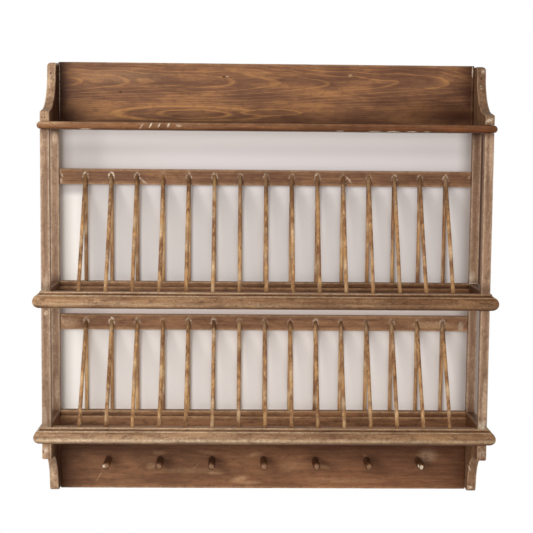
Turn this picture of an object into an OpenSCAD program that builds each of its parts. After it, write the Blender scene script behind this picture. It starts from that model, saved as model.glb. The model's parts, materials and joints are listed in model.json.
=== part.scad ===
// Wall plate rack: two plate tiers, a top shelf with a raised back, and a row of mug pegs.
// Units are millimetres. +X is right, +Z is up, the wall is the plane Y = 0 and the front faces -Y.
// The origin is on the back of the top back board, level with the two hanging keyholes.

/* [Frame] */
// Width over the outer faces of the posts
frame_w = 870; // [740:10:1200]
// Depth from the wall to the front faces of the posts
frame_d = 150; // [130:5:220]
// Side of the square posts
post_w = 18; // [16:1:26]
// Length of the posts, from the bottom brackets to the top shelf
post_l = 610; // [585:1:760]

/* [Top shelf] */
// Thickness of the shelf
shelf_t = 15; // [14:1:28]
// Overhang of the shelf past the posts, at the front and at both sides
shelf_over = 6; // [0:1:20]
// Height of the raised back board
back_board_h = 120; // [100:1:180]
// Thickness of the raised back board
back_board_t = 18; // [16:1:26]
// Height of the top brackets
top_bracket_h = 117; // [100:1:180]

/* [Trays] */
// Distance from one tray up to the next
tray_pitch = 266; // [262:1:320]
// Height of the front rails and of the moulding in front of them
front_rail_h = 32.5; // [31:0.5:40]
// Height of the rear rails and of the end panels
rear_rail_h = 39; // [33:0.5:50]
// Thickness of the front rails, rear rails and end panels
rail_t = 18; // [14:1:18]
// Width of the ledge on which the plates' rear edges rest
ledge_w = 8; // [5:1:16]
// Height of that ledge
ledge_h = 29; // [15:1:32]

/* [Moulding] */
// Projection of the moulding from the posts
mould_d = 15; // [12:0.5:24]
// Height of the moulding's nose above the tray's underside
nose_h = 14; // [11:0.5:15]
// Width of the narrow fillet along the moulding's top
fillet_w = 3.2; // [2.4:0.2:4]
// Height of that fillet
fillet_h = 1.2; // [1:0.1:2]
// Radius of the hollow below the fillet
hollow_r = 4.8; // [3.6:0.2:6]

/* [Plate rails] */
// Height of the plate rails
plate_rail_h = 31.5; // [28:0.5:40]
// Thickness of the plate rails
plate_rail_t = 14; // [13:1:18]
// Clear height of the upper tier, from the tray's underside to its plate rail
upper_clear_h = 235; // [215:1:260]
// Clear height of the lower tier, from the tray's underside to its plate rail
lower_clear_h = 205.5; // [180:0.5:225]

/* [Spindles] */
// Diameter of the spindles
spindle_d = 8; // [6:0.5:9]
// Distance between neighbouring spindles
spindle_pitch = 52; // [40:1:70]
// Distance of the splayed spindles' feet from the front of the rail
foot_inset = 11; // [9:0.5:12]
// Height at which the splayed spindles enter the plate rail, above its underside
head_rise = 14; // [13:0.5:18]
// Depth of the sockets that hold the spindles
socket_l = 10; // [6:0.5:11]
// Depth of the sockets above the upright spindles
head_socket_l = 7; // [5:0.5:8]

/* [Pegs and bottom brackets] */
// Height of the peg board
drop_h = 123.5; // [110:0.5:180]
// Height of the bottom brackets
bottom_bracket_h = 121; // [110:1:180]
// Thickness of the peg board
peg_board_t = 18; // [16:1:26]
// Height of the pegs above the bottom edge
peg_rise = 61; // [20:1:80]
// Diameter of the pegs
peg_d = 15; // [11:0.5:18]
// Length of a peg outside the board
peg_l = 62; // [40:1:80]
// Diameter of the tenon on a peg's root
peg_tenon_d = 9; // [6:0.5:9]
// Length of that tenon
peg_tenon_l = 12; // [8:1:14]
// Distance between neighbouring pegs
peg_pitch = 106; // [60:1:110]
// Height of the dome on a peg's end
peg_dome = 2; // [0.8:0.2:3]

/* [Bracket outline] */
// Thickness of the four brackets
bracket_t = 18; // [14:1:18]
// Height of a top bracket's toe at its front edge
toe_h = 19.5; // [12:0.5:23]
// Length of the nearly level stretch behind that edge
toe_l = 38; // [25:1:50]
// Height at which a top bracket's hollow begins, behind the toe
hollow_start_h = 24.5; // [24:0.5:30]
// Height at which a top bracket's hollow ends, below the lobe
hollow_end_h = 86; // [70:1:88]
// Rise of a top bracket's hollow over its chord
hollow_sag = 12.2; // [6:0.2:20]
// Height of a bottom bracket's toe at its front edge
low_toe_h = 31.5; // [24:0.5:34]
// Distance below the tray at which a bottom bracket's hollow begins
low_start_h = 35.5; // [35:0.5:42]
// Distance below the tray at which a bottom bracket's hollow ends
low_end_h = 97; // [80:1:98]
// Rise of a bottom bracket's hollow over its chord
low_sag = 15; // [6:0.2:20]
// Depth of the bracket where the hollow ends
neck_d = 49.5; // [40:0.5:60]
// How much shallower the lobe is than the neck
lobe_set = 1.5; // [0:0.5:5]
// Radius of the toe's front corner
toe_r = 3; // [1:0.5:6]
// Radius of the lobe's corner
lobe_r = 11; // [4:0.5:12]

/* [Joints] */
// Length of the stub tenons
tenon_l = 10; // [6:1:12]
// Thickness of the stub tenons
tenon_t = 8; // [6:0.5:9]
// Height of a tray rail's tenon
tenon_h = 12; // [8:0.5:12]
// Shoulder above and below a tenon
shoulder = 3; // [2:0.5:3.5]
// Clearance round a tenon, spindle or peg in its mortise or socket
fit_gap = 0.1; // [0.05:0.05:0.3]

/* [Hanging keyholes] */
// Height of the keyholes above the shelf
keyhole_rise = 59; // [40:1:70]
// Distance between the two keyholes
keyhole_pitch = 600; // [300:10:660]
// Diameter of the entry hole for the screw's head
entry_d = 13; // [10:0.5:14]
// Depth of the keyhole
keyhole_l = 10; // [8:0.5:12]
// Thickness of the lip that the screw's head hooks behind
lip_t = 4; // [3:0.5:5]
// Width of the slot in the lip
slot_w = 4.8; // [4:0.2:5.4]
// Width of the recess behind the lip
recess_w = 8.4; // [7:0.2:8.4]
// Rise of the slot above the entry hole's centre
slot_rise = 14; // [11:1:20]

/* [Hidden] */
$fn = 48;
// Points on each round stretch of an outline
steps = 10;
// Overlap of a cutter past the face that it opens
cut = 1;

// Wood colours
rail_colour = [0.50, 0.35, 0.24];
post_colour = [0.62, 0.49, 0.39];
mould_colour = [0.60, 0.46, 0.33];
dark_colour = [0.38, 0.25, 0.17];
spindle_colour = [0.69, 0.51, 0.30];

inner_w = frame_w - 2 * post_w;
post_x = inner_w / 2;
board_x = frame_w / 2 - bracket_t;
post_top = drop_h + post_l;
shelf_top = post_top + shelf_t;
hang_z = shelf_top + keyhole_rise;
upper_tray_z = drop_h + tray_pitch;
lower_tray_z = drop_h;
upper_plate_z = upper_tray_z + upper_clear_h;
lower_plate_z = lower_tray_z + lower_clear_h;
rail_tenon_z = shoulder;
panel_tenon_z = front_rail_h - shoulder - tenon_h;
plate_tenon_h = plate_rail_h - 2 * shoulder;
front_rail_y = -(frame_d - rail_t / 2);
rear_rail_y = -rail_t / 2;
plate_rail_y = -plate_rail_t / 2;
spindle_count = floor(inner_w / spindle_pitch) - 1;
peg_count = 7;
// Rise of the ovolo's full crown over the foot of the hollow that cuts it
crown_over = 1;

// ---- Outlines: lists of points in [outward, up] ----

// Points on an arc round a centre, with a radius for each direction
function arc(centre, rx, ry, from, to) =
    [for (i = [0:steps]) let (a = from + (to - from) * i / steps)
        centre + [rx * cos(a), ry * sin(a)]];

// Points on the arc from p to q that falls to the right of the line by a given rise
function sagging_arc(p, q, sag) =
    let (
        chord = norm(q - p),
        r = (chord * chord / 4 + sag * sag) / (2 * sag),
        left = [p.y - q.y, q.x - p.x] / chord,
        centre = (p + q) / 2 + left * (r - sag),
        middle = atan2(-left.y, -left.x),
        half = asin(chord / (2 * r))
    )
    arc(centre, r, r, middle - half, middle + half);

// The moulding: fillet, hollow, ovolo down to the nose, and a quarter turn back underneath
function moulding_outline() =
    let (
        hollow_foot = front_rail_h - fillet_h - hollow_r,
        rise = hollow_foot - nose_h,
        crown = rise + crown_over,
        reach = sqrt(1 - pow(rise / crown, 2)),
        centre_u = (fillet_w + hollow_r - reach * mould_d) / (1 - reach)
    )
    concat(
        [[0, front_rail_h], [fillet_w, front_rail_h]],
        arc([fillet_w + hollow_r, hollow_foot + hollow_r], hollow_r, hollow_r, 180, 270),
        arc([centre_u, nose_h], mould_d - centre_u, crown, asin(rise / crown), 0),
        [for (i = [1:steps]) let (a = -90 * i / steps)
            [mould_d * cos(a), nose_h + nose_h * sin(a)]]
    );

// A bracket standing on its long edge: toe, hollow and lobe. The wall is at 0, the front at -frame_d
function bracket_outline(h, toe, start, end, sag) =
    let (toe_slope = atan2(start - toe, toe_l))
    concat(
        [[0, 0], [-frame_d, 0]],
        arc([toe_r - frame_d, toe - toe_r], toe_r, toe_r, 180, 90 + toe_slope),
        sagging_arc([toe_l - frame_d, start], [-neck_d, end], sag),
        arc([lobe_set - neck_d + lobe_r, h - lobe_r], lobe_r, lobe_r, 180, 90),
        [[0, h]]
    );

// ---- Placing ----

// Heights are counted from the bottom edge; the finished part has its origin at the keyholes
module in_frame() {
    translate([0, 0, -hang_z]) children();
}

// A piece drawn on the right, on the side that is asked for
module on_side(side) {
    if (side == "left") mirror([1, 0, 0]) children();
    else children();
}

// Copies along X, evenly spaced about the middle
module row_of(count, pitch) {
    for (i = [0:count - 1]) translate([(i - (count - 1) / 2) * pitch, 0, 0]) children();
}

// An outline in [y, z], made solid from x0 over a width
module across(x0, width) {
    translate([x0, 0, 0]) rotate([90, 0, 90]) linear_extrude(width) children();
}

// ---- Stub tenons: gap is 0 for the tenon and fit_gap for its mortise ----

// At the end of a rail, pointing right into a post
module rail_tenon(y, z, h, gap = 0) {
    translate([post_x - cut, y - tenon_t / 2 - gap, z - gap])
        cube([cut + tenon_l + gap, tenon_t + 2 * gap, h + 2 * gap]);
}

// At the front or rear end of an end panel, on the right
module panel_tenon(z, front, gap = 0) {
    y = front ? -(frame_d - post_w) - tenon_l - gap : -post_w - cut;
    translate([frame_w / 2 - rail_t / 2 - tenon_t / 2 - gap, y, z + panel_tenon_z - gap])
        cube([tenon_t + 2 * gap, cut + tenon_l + gap, tenon_h + 2 * gap]);
}

// At the top and foot of a post, on the right
module post_tenons(front, gap = 0) {
    y = front ? front_rail_y : rear_rail_y;
    translate([frame_w / 2 - bracket_t / 2 - tenon_t / 2 - gap, y - tenon_t / 2 - gap, drop_h - tenon_l - gap])
        cube([tenon_t + 2 * gap, tenon_t + 2 * gap, post_l + 2 * (tenon_l + gap)]);
}

// ---- Spindles and pegs: gap is 0 for the piece and fit_gap for its sockets ----

// A rod between two points given as [y, z], sunk into both by a length
module rod(from, to, d, sink) {
    run = to - from;
    lean = atan2(run.x, run.y);
    translate([0, from.x, from.y]) rotate([-lean, 0, 0]) translate([0, 0, -sink])
        cylinder(h = norm(run) + 2 * sink, d = d);
}

module front_spindles(tray_z, plate_z, gap = 0) {
    foot = [foot_inset - frame_d, tray_z + front_rail_h];
    head = [-plate_rail_t, plate_z + head_rise];
    row_of(spindle_count, spindle_pitch) rod(foot, head, spindle_d + 2 * gap, socket_l);
}

module rear_spindles(tray_z, plate_z, gap = 0) {
    foot = [plate_rail_y, tray_z + rear_rail_h - socket_l];
    head = [plate_rail_y, plate_z + head_socket_l];
    row_of(spindle_count, spindle_pitch) rod(foot, head, spindle_d + 2 * gap, 0);
}

// The tenon on a peg's root, which points into the board
module peg_tenon(gap = 0) {
    rotate([-90, 0, 0]) translate([0, 0, -cut]) cylinder(h = peg_tenon_l + cut, d = peg_tenon_d + 2 * gap);
}

// A peg about the middle of its shoulder, which seats on the board
module whole_peg() {
    dome_r = (peg_d * peg_d / 4 + peg_dome * peg_dome) / (2 * peg_dome);
    straight = peg_l - peg_dome;
    peg_tenon();
    rotate([90, 0, 0]) {
        cylinder(h = straight, d = peg_d);
        intersection() {
            translate([0, 0, peg_l - dome_r]) sphere(r = dome_r);
            translate([0, 0, straight - cut]) cylinder(h = peg_dome + 2 * cut, d = peg_d);
        }
    }
}

// ---- Top ----

module top_shelf() {
    r = shelf_t / 2;
    half = frame_w / 2 + shelf_over - r;
    front = frame_d + shelf_over - r;
    color(rail_colour) in_frame() difference() {
        translate([0, 0, post_top + r]) union() {
            translate([-half, -front, -r]) cube([2 * half, front, shelf_t]);
            translate([-half, -front, 0]) rotate([0, 90, 0]) cylinder(h = 2 * half, r = r);
            for (x = [-half, half]) {
                translate([x, 0, 0]) rotate([90, 0, 0]) cylinder(h = front, r = r);
                translate([x, -front, 0]) sphere(r = r);
            }
        }
        for (side = ["left", "right"]) on_side(side) {
            post_tenons(true, fit_gap);
            post_tenons(false, fit_gap);
        }
    }
}

// A round entry, a narrow slot above it in the lip, and a wider recess behind the lip
module keyhole() {
    rotate([90, 0, 0]) {
        translate([0, 0, -cut]) cylinder(h = cut + keyhole_l, d = entry_d);
        translate([0, slot_rise, -cut]) cylinder(h = cut + keyhole_l, d = slot_w);
        translate([-slot_w / 2, 0, -cut]) cube([slot_w, slot_rise, cut + keyhole_l]);
        translate([0, slot_rise, lip_t]) cylinder(h = keyhole_l - lip_t, d = recess_w);
        translate([-recess_w / 2, 0, lip_t]) cube([recess_w, slot_rise, keyhole_l - lip_t]);
    }
}

module top_back_board() {
    color(rail_colour) in_frame() difference() {
        translate([-board_x, -back_board_t, shelf_top]) cube([2 * board_x, back_board_t, back_board_h]);
        translate([0, 0, hang_z]) row_of(2, keyhole_pitch) keyhole();
    }
}

module top_bracket(side) {
    color(rail_colour) in_frame() on_side(side)
        translate([0, 0, shelf_top]) across(board_x, bracket_t)
            polygon(bracket_outline(top_bracket_h, toe_h, hollow_start_h, hollow_end_h, hollow_sag));
}

// ---- Posts ----

module front_post(side) {
    color(post_colour) in_frame() on_side(side) difference() {
        union() {
            translate([post_x, -frame_d, drop_h]) cube([post_w, post_w, post_l]);
            post_tenons(true);
        }
        for (tray_z = [lower_tray_z, upper_tray_z]) {
            rail_tenon(front_rail_y, tray_z + rail_tenon_z, tenon_h, fit_gap);
            panel_tenon(tray_z, true, fit_gap);
        }
    }
}

module rear_post(side) {
    color(post_colour) in_frame() on_side(side) difference() {
        union() {
            translate([post_x, -post_w, drop_h]) cube([post_w, post_w, post_l]);
            post_tenons(false);
        }
        for (tray_z = [lower_tray_z, upper_tray_z]) {
            rail_tenon(rear_rail_y, tray_z + rail_tenon_z, tenon_h, fit_gap);
            panel_tenon(tray_z, false, fit_gap);
        }
        for (plate_z = [lower_plate_z, upper_plate_z])
            rail_tenon(plate_rail_y, plate_z + shoulder, plate_tenon_h, fit_gap);
    }
}

// ---- Plate rails and trays ----

// A rail between the posts with a tenon at each end, y being the middle of its thickness
module rail(y, z, t, h, tenon_z, tenon_height) {
    translate([-post_x, y - t / 2, z]) cube([inner_w, t, h]);
    for (side = ["left", "right"]) on_side(side) rail_tenon(y, z + tenon_z, tenon_height);
}

module plate_rail(tray_z, plate_z) {
    color(rail_colour) in_frame() difference() {
        rail(plate_rail_y, plate_z, plate_rail_t, plate_rail_h, shoulder, plate_tenon_h);
        front_spindles(tray_z, plate_z, fit_gap);
        rear_spindles(tray_z, plate_z, fit_gap);
    }
}

module tray_front_rail(tray_z, plate_z) {
    color(rail_colour) in_frame() difference() {
        rail(front_rail_y, tray_z, rail_t, front_rail_h, rail_tenon_z, tenon_h);
        front_spindles(tray_z, plate_z, fit_gap);
    }
}

module tray_rear_rail(tray_z, plate_z) {
    color(dark_colour) in_frame() difference() {
        rail(rear_rail_y, tray_z, rail_t, rear_rail_h, rail_tenon_z, tenon_h);
        rear_spindles(tray_z, plate_z, fit_gap);
    }
}

module tray_end(tray_z, side) {
    color(dark_colour) in_frame() on_side(side) {
        translate([frame_w / 2 - rail_t, -(frame_d - post_w), tray_z])
            cube([rail_t, frame_d - 2 * post_w, rear_rail_h]);
        for (front = [true, false]) panel_tenon(tray_z, front);
    }
}

module tray_plate_ledge(tray_z) {
    color(dark_colour) in_frame()
        translate([-post_x, -rail_t - ledge_w, tray_z]) cube([inner_w, ledge_w, ledge_h]);
}

module tray_front_moulding(tray_z) {
    reach = 2 * mould_d;
    color(mould_colour) in_frame() translate([0, 0, tray_z]) intersection() {
        translate([0, -frame_d, 0]) across(-frame_w / 2 - mould_d, frame_w + 2 * mould_d)
            mirror([1, 0]) polygon(moulding_outline());
        translate([0, -frame_d, -cut]) linear_extrude(front_rail_h + 2 * cut)
            polygon([[-frame_w / 2, 0], [frame_w / 2, 0],
                [frame_w / 2 + reach, -reach], [-frame_w / 2 - reach, -reach]]);
    }
}

module tray_side_moulding(tray_z, side) {
    reach = 2 * mould_d;
    color(mould_colour) in_frame() on_side(side) translate([frame_w / 2, 0, tray_z]) intersection() {
        rotate([90, 0, 0]) linear_extrude(frame_d + mould_d) polygon(moulding_outline());
        translate([0, 0, -cut]) linear_extrude(front_rail_h + 2 * cut)
            polygon([[0, 0], [reach, 0], [reach, -frame_d - reach], [0, -frame_d]]);
    }
}

// ---- Spindle rows ----

module spindle_row(tray_z, plate_z, front) {
    color(spindle_colour) in_frame() {
        if (front) front_spindles(tray_z, plate_z);
        else rear_spindles(tray_z, plate_z);
    }
}

// ---- Peg board ----

module peg_board() {
    color(rail_colour) in_frame() difference() {
        translate([-board_x, -peg_board_t, 0]) cube([2 * board_x, peg_board_t, drop_h]);
        translate([0, -peg_board_t, peg_rise]) row_of(peg_count, peg_pitch) peg_tenon(fit_gap);
    }
}

module peg(number) {
    color(post_colour) in_frame()
        translate([(number - (peg_count + 1) / 2) * peg_pitch, -peg_board_t, peg_rise]) whole_peg();
}

module bottom_bracket(side) {
    color(rail_colour) in_frame() on_side(side) difference() {
        translate([0, 0, drop_h]) mirror([0, 0, 1]) across(board_x, bracket_t)
            polygon(bracket_outline(bottom_bracket_h, low_toe_h, low_start_h, low_end_h, low_sag));
        post_tenons(true, fit_gap);
        post_tenons(false, fit_gap);
    }
}

// ---- The part ----

top_shelf();
top_back_board();
plate_rail(upper_tray_z, upper_plate_z);  // upper_plate_rail
plate_rail(lower_tray_z, lower_plate_z);  // lower_plate_rail
peg_board();
for (side = ["left", "right"]) {
    top_bracket(side);
    front_post(side);
    rear_post(side);
    bottom_bracket(side);
}
for (tier = [["upper", upper_tray_z, upper_plate_z], ["lower", lower_tray_z, lower_plate_z]]) {
    name = tier[0];
    tray_z = tier[1];
    plate_z = tier[2];
    tray_front_rail(tray_z, plate_z);
    tray_rear_rail(tray_z, plate_z);
    tray_plate_ledge(tray_z);
    tray_front_moulding(tray_z);
    spindle_row(tray_z, plate_z, true);
    spindle_row(tray_z, plate_z, false);
    for (side = ["left", "right"]) {
        tray_end(tray_z, side);
        tray_side_moulding(tray_z, side);
    }
}
for (i = [1:peg_count]) {
    peg(i);
}
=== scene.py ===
"""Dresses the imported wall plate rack: worn, waxed and limed timber round the CAD frame.

All lengths are metres in the rack's own frame: +X right, +Y into the wall, +Z up, with the
origin on the wall behind the top back board, level with the keyholes.
"""

import json
import logging
from dataclasses import dataclass, field, replace
from enum import Enum
from functools import cached_property, partial
from typing import Any, Callable, Iterable, Sequence

import bpy
import numpy as np
from mathutils import Matrix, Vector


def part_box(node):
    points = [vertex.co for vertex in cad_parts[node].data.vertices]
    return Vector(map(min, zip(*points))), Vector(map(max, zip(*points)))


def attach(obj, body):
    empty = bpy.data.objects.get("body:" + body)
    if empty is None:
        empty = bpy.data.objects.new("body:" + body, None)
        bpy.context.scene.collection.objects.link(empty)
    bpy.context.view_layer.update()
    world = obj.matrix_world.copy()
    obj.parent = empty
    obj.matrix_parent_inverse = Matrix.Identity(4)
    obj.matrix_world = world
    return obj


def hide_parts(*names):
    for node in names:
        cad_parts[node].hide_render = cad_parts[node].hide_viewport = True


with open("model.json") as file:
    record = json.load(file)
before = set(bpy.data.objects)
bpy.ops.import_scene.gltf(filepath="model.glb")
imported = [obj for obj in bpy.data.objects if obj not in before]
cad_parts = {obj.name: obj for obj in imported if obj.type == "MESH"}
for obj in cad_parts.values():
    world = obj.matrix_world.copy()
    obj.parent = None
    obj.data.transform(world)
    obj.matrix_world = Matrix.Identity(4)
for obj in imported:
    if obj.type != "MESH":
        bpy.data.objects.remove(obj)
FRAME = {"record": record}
LOG = logging.getLogger("plate_rack")
MM = 0.001
SIDES = (("left", -1.0), ("right", 1.0))
WHITE = (1.0, 1.0, 1.0)

# A reach that covers the whole rack, how far rubbing gets in from an arris, and the distance
# between the points of a bracket's outline.
EVERYWHERE = 9.0
RUB_WIDTH = 1.6 * MM
BRACKET_SPACING = 2.2 * MM

Colour = tuple[float, float, float]
Place = tuple[float, float, float]
Array = np.ndarray


def rgb(red: int, green: int, blue: int) -> Colour:
    """Turns a screen colour (0 to 255) into the linear colour that a shader takes.

    Args:
        red: The screen's red.
        green: Its green.
        blue: Its blue.

    Returns:
        The linear colour.
    """
    screen = np.array([red, green, blue]) / 255.0
    linear = np.where(screen <= 0.04045, screen / 12.92, ((screen + 0.055) / 1.055) ** 2.4)
    return tuple(float(v) for v in linear)


class Axis(Enum):
    """The direction in which a piece of timber and its grain run."""

    X = 0
    Y = 1
    Z = 2


class Tier(Enum):
    """One of the two levels on which plates stand."""

    UPPER = "upper"
    LOWER = "lower"


class Row(Enum):
    """Which of two rows a post or a spindle stands in."""

    FRONT = "front"
    REAR = "rear"


class Trace(Enum):
    """What the years leave on timber, with painted shade and highlights kept alongside. The value names the
    mesh attribute that holds it.
    """

    WEAR = "wear"
    WASH = "wash"
    GRIME = "grime"


WEAR, WASH, GRIME = Trace


def cad_box(node: str) -> tuple[Array, Array]:
    """The lowest and the highest corner of a CAD node."""
    low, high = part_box(node)
    return np.array(low), np.array(high)


def between_tenons(node: str, axis: Axis, tenon: float) -> tuple[Array, Array]:
    """The corners of a CAD node without the tenons at both of its ends.

    Args:
        node: The CAD node.
        axis: Direction of its length.
        tenon: Length of a tenon.

    Returns:
        Its lowest and its highest corner.
    """
    low, high = cad_box(node)
    low[axis.value] += tenon
    high[axis.value] -= tenon
    return low, high


# ---------------------------------------------------------------- shader maths


class Signal:
    """A number that varies over the surface: an output socket that takes part in arithmetic."""

    def __init__(self, paint: "Paint", socket: bpy.types.NodeSocket) -> None:
        """Wraps a socket.

        Args:
            paint: The material that the socket belongs to.
            socket: An output socket that carries one number.
        """
        self.paint = paint
        self.socket = socket

    def _math(self, operation: str, *values: Any) -> "Signal":
        """Adds one Math node.

        Args:
            operation: Blender's name of the operation.
            values: Its inputs in order, signals or numbers.

        Returns:
            The node's result.
        """
        node = self.paint.node("ShaderNodeMath", {"operation": operation}, dict(enumerate(values)))
        return Signal(self.paint, node.outputs[0])

    def __add__(self, other: Any) -> "Signal":
        """self + other."""
        return self._math("ADD", self, other)

    __radd__ = __add__

    def __sub__(self, other: Any) -> "Signal":
        """self - other."""
        return self._math("SUBTRACT", self, other)

    def __rsub__(self, other: Any) -> "Signal":
        """other - self."""
        return self._math("SUBTRACT", other, self)

    def __mul__(self, other: Any) -> "Signal":
        """self * other."""
        return self._math("MULTIPLY", self, other)

    def __truediv__(self, other: Any) -> "Signal":
        """self / other."""
        return self._math("DIVIDE", self, other)

    def __abs__(self) -> "Signal":
        """The size of self without its sign."""
        return self._math("ABSOLUTE", self)

    def fraction(self) -> "Signal":
        """What is left of self over a whole number."""
        return self._math("FRACT", self)

    def lesser(self, other: Any) -> "Signal":
        """The smaller of self and other."""
        return self._math("MINIMUM", self, other)

    def greater(self, other: Any) -> "Signal":
        """The larger of self and other."""
        return self._math("MAXIMUM", self, other)

    def hypot(self, other: "Signal") -> "Signal":
        """The root of the sum of both squares."""
        return self._math("SQRT", self * self + other * other)

    def step(self, low: float, high: float) -> "Signal":
        """A smooth step from 0 at low to 1 at high, or down again where low is the larger.

        Args:
            low: Where the result is 0.
            high: Where it is 1.

        Returns:
            The result, from 0 to 1.
        """
        settings = {"interpolation_type": "SMOOTHSTEP"}
        values = {0: self, 1: min(low, high), 2: max(low, high)}
        values[3], values[4] = (0.0, 1.0) if low < high else (1.0, 0.0)
        node = self.paint.node("ShaderNodeMapRange", settings, values)
        return Signal(self.paint, node.outputs[0])


class Paint:
    """The shader nodes of one material or world under construction."""

    def __init__(self, owner: bpy.types.Material | bpy.types.World) -> None:
        """Starts with no nodes.

        Args:
            owner: The material or world that the nodes belong to.
        """
        self.owner = owner
        owner.use_nodes = True
        self.tree = owner.node_tree
        self.tree.nodes.clear()

    def node(self, kind: str, settings: dict[str, Any], values: dict[Any, Any]) -> bpy.types.Node:
        """Adds any node.

        Args:
            kind: The node's type.
            settings: Its properties, set before its inputs.
            values: Inputs by name or number: signals, sockets, numbers or colours.

        Returns:
            The new node.
        """
        node = self.tree.nodes.new(kind)
        for key, value in settings.items():
            setattr(node, key, value)
        for key, value in values.items():
            socket = node.inputs[key]
            if isinstance(value, Signal):
                value = value.socket
            if isinstance(value, bpy.types.NodeSocket):
                self.tree.links.new(value, socket)
            elif isinstance(value, tuple) and socket.type == "RGBA":
                socket.default_value = (*value, 1.0)
            else:
                socket.default_value = value
        return node

    @cached_property
    def point(self) -> tuple[Signal, Signal, Signal]:
        """The surface point's three coordinates in the rack's frame.

        Returns:
            X, Y and Z, made once for each material.
        """
        place = self.node("ShaderNodeTexCoord", {}, {}).outputs["Object"]
        split = self.node("ShaderNodeSeparateXYZ", {}, {0: place})
        return tuple(Signal(self, socket) for socket in split.outputs)

    def vector(self, x: Any, y: Any, z: Any) -> bpy.types.NodeSocket:
        """Three numbers joined into a vector."""
        return self.node("ShaderNodeCombineXYZ", {}, {0: x, 1: y, 2: z}).outputs[0]

    def noise(self, vector: Any, detail: float = 2.0, roughness: float = 0.5) -> Signal:
        """Cloudy noise between 0 and 1, one cloud to each unit of the vector."""
        values = {"Vector": vector, "Scale": 1.0, "Detail": detail, "Roughness": roughness}
        return Signal(self, self.node("ShaderNodeTexNoise", {}, values).outputs[0])

    def length(self, x: Any, y: Any, z: Any) -> Signal:
        """The length of the vector that three numbers make."""
        node = self.node("ShaderNodeVectorMath", {"operation": "LENGTH"}, {0: self.vector(x, y, z)})
        return Signal(self, node.outputs["Value"])

    def attribute(self, name: str) -> Signal:
        """A number stored on the mesh."""
        node = self.node("ShaderNodeAttribute", {"attribute_name": name}, {})
        return Signal(self, node.outputs["Fac"])

    def blend(self, amount: Any, first: Any, second: Any, how: str = "MIX") -> bpy.types.NodeSocket:
        """Mixes two colours.

        Args:
            amount: 0 for the first colour, 1 for the second.
            first: A colour or colour socket.
            second: A colour or colour socket.
            how: Blender's name of the blend.

        Returns:
            The mixed colour.
        """
        settings = {"data_type": "RGBA", "blend_type": how, "clamp_factor": True}
        node = self.node("ShaderNodeMix", settings, {0: amount, 6: first, 7: second})
        return node.outputs[2]

    def shade(self, values: dict[str, Any]) -> bpy.types.Material:
        """Finishes the material.

        Args:
            values: Inputs of the main shader.

        Returns:
            The material.
        """
        shader = self.node("ShaderNodeBsdfPrincipled", {}, values)
        self.node("ShaderNodeOutputMaterial", {}, {"Surface": shader.outputs[0]})
        return self.owner


# ---------------------------------------------------------------- finishes


@dataclass(frozen=True)
class Spot:
    """A small mark that a brush, a nail or a knock left, or a patch of painted shade.

    Attributes:
        kind: What was left.
        centre: Its middle.
        reach: Half its size along X, Y and Z.
        amount: Its strength.
        slant: How far it leans along X for each metre up.
    """

    kind: Trace
    centre: Place
    reach: Place
    amount: float = 1.0
    slant: float = 0.0

    def signal(self, paint: Paint) -> Signal:
        """The mark as an ellipsoid with a soft edge.

        Args:
            paint: The material that it lies on.

        Returns:
            Its strength in the middle, 0 outside.
        """
        x, y, z = paint.point
        up = z - self.centre[2]
        away = paint.length((x - self.centre[0] - up * self.slant) / self.reach[0],
                            (y - self.centre[1]) / self.reach[1], up / self.reach[2])
        return away.step(1.4, 0.35) * self.amount


def on_face(face: float, rows: Sequence[tuple[Any, ...]], deep: float = 4 * MM) -> tuple[Spot, ...]:
    """Spots on one flat front.

    Args:
        face: The front's Y.
        rows: Each spot's kind, X, Z, half width and half height, and where they matter its strength
            and its slant.
        deep: Half the spots' reach along Y.

    Returns:
        The spots.
    """
    return tuple(Spot(kind, (x, face, z), (wide, deep, high), *rest)
                 for kind, x, z, wide, high, *rest in rows)


@dataclass(frozen=True)
class Eye:
    """A closed loop of grain on a sawn face.

    Attributes:
        centre: Its middle, along the piece and across the face.
        reach: Half its length and half its width.
    """

    centre: tuple[float, float]
    reach: tuple[float, float]

    def away(self, along: Signal, wide: Signal) -> Signal:
        """Distance from the middle, 1 on the loop."""
        return ((along - self.centre[0]) / self.reach[0]).hypot((wide - self.centre[1]) / self.reach[1])


@dataclass(frozen=True)
class Figure:
    """The growth rings that a sawn face cuts through.

    Attributes:
        pitch: Distance between rings, measured out from the pith.
        depth: Distance from the face to the pith at the middle of the piece.
        slope: How fast that distance changes along the piece, which sets the length of the arches.
        across: Where the pith lies across the face.
        sway_by: How far the pith's depth sways along the piece.
        wander_by: How far the rings wander.
        eyes: Closed loops of grain, the widest first.
    """

    pitch: float = 6.5 * MM
    depth: float = 60 * MM
    slope: float = 0.03
    across: float = 0.0
    sway_by: float = 14 * MM
    wander_by: float = 12 * MM
    eyes: tuple[Eye, ...] = ()

    def lines(self, along: Signal, deep: Signal, wide: Signal, sway: Signal, wander: Signal) -> Signal:
        """Late wood as bright lines.

        A ring's number is the distance from the pith over the pitch. The pith runs at a slant to
        the face, so the rings come out as nested arches.

        Args:
            along: Place along the grain.
            deep: Depth below the face.
            wide: Place across the face.
            sway: Slow change of the pith's depth.
            wander: Unevenness of the rings.

        Returns:
            1 on a line, 1.5 on an eye's loop, 0 between them.
        """
        pith = along * self.slope + self.depth + sway * self.sway_by + wander * self.wander_by + deep
        phase = (pith.hypot(wide - self.across + wander * 0.03) / self.pitch).fraction()
        lines = phase.step(0.72, 0.9) * phase.step(1.0, 0.94)
        bent = wide + wander * self.wander_by
        for eye in self.eyes:
            away = eye.away(along, bent)
            loop = abs(away - 1.0).step(0.16, 0.04)
            lines = lines * away.step(0.9, 1.25) + loop * 1.5
        return lines


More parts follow.
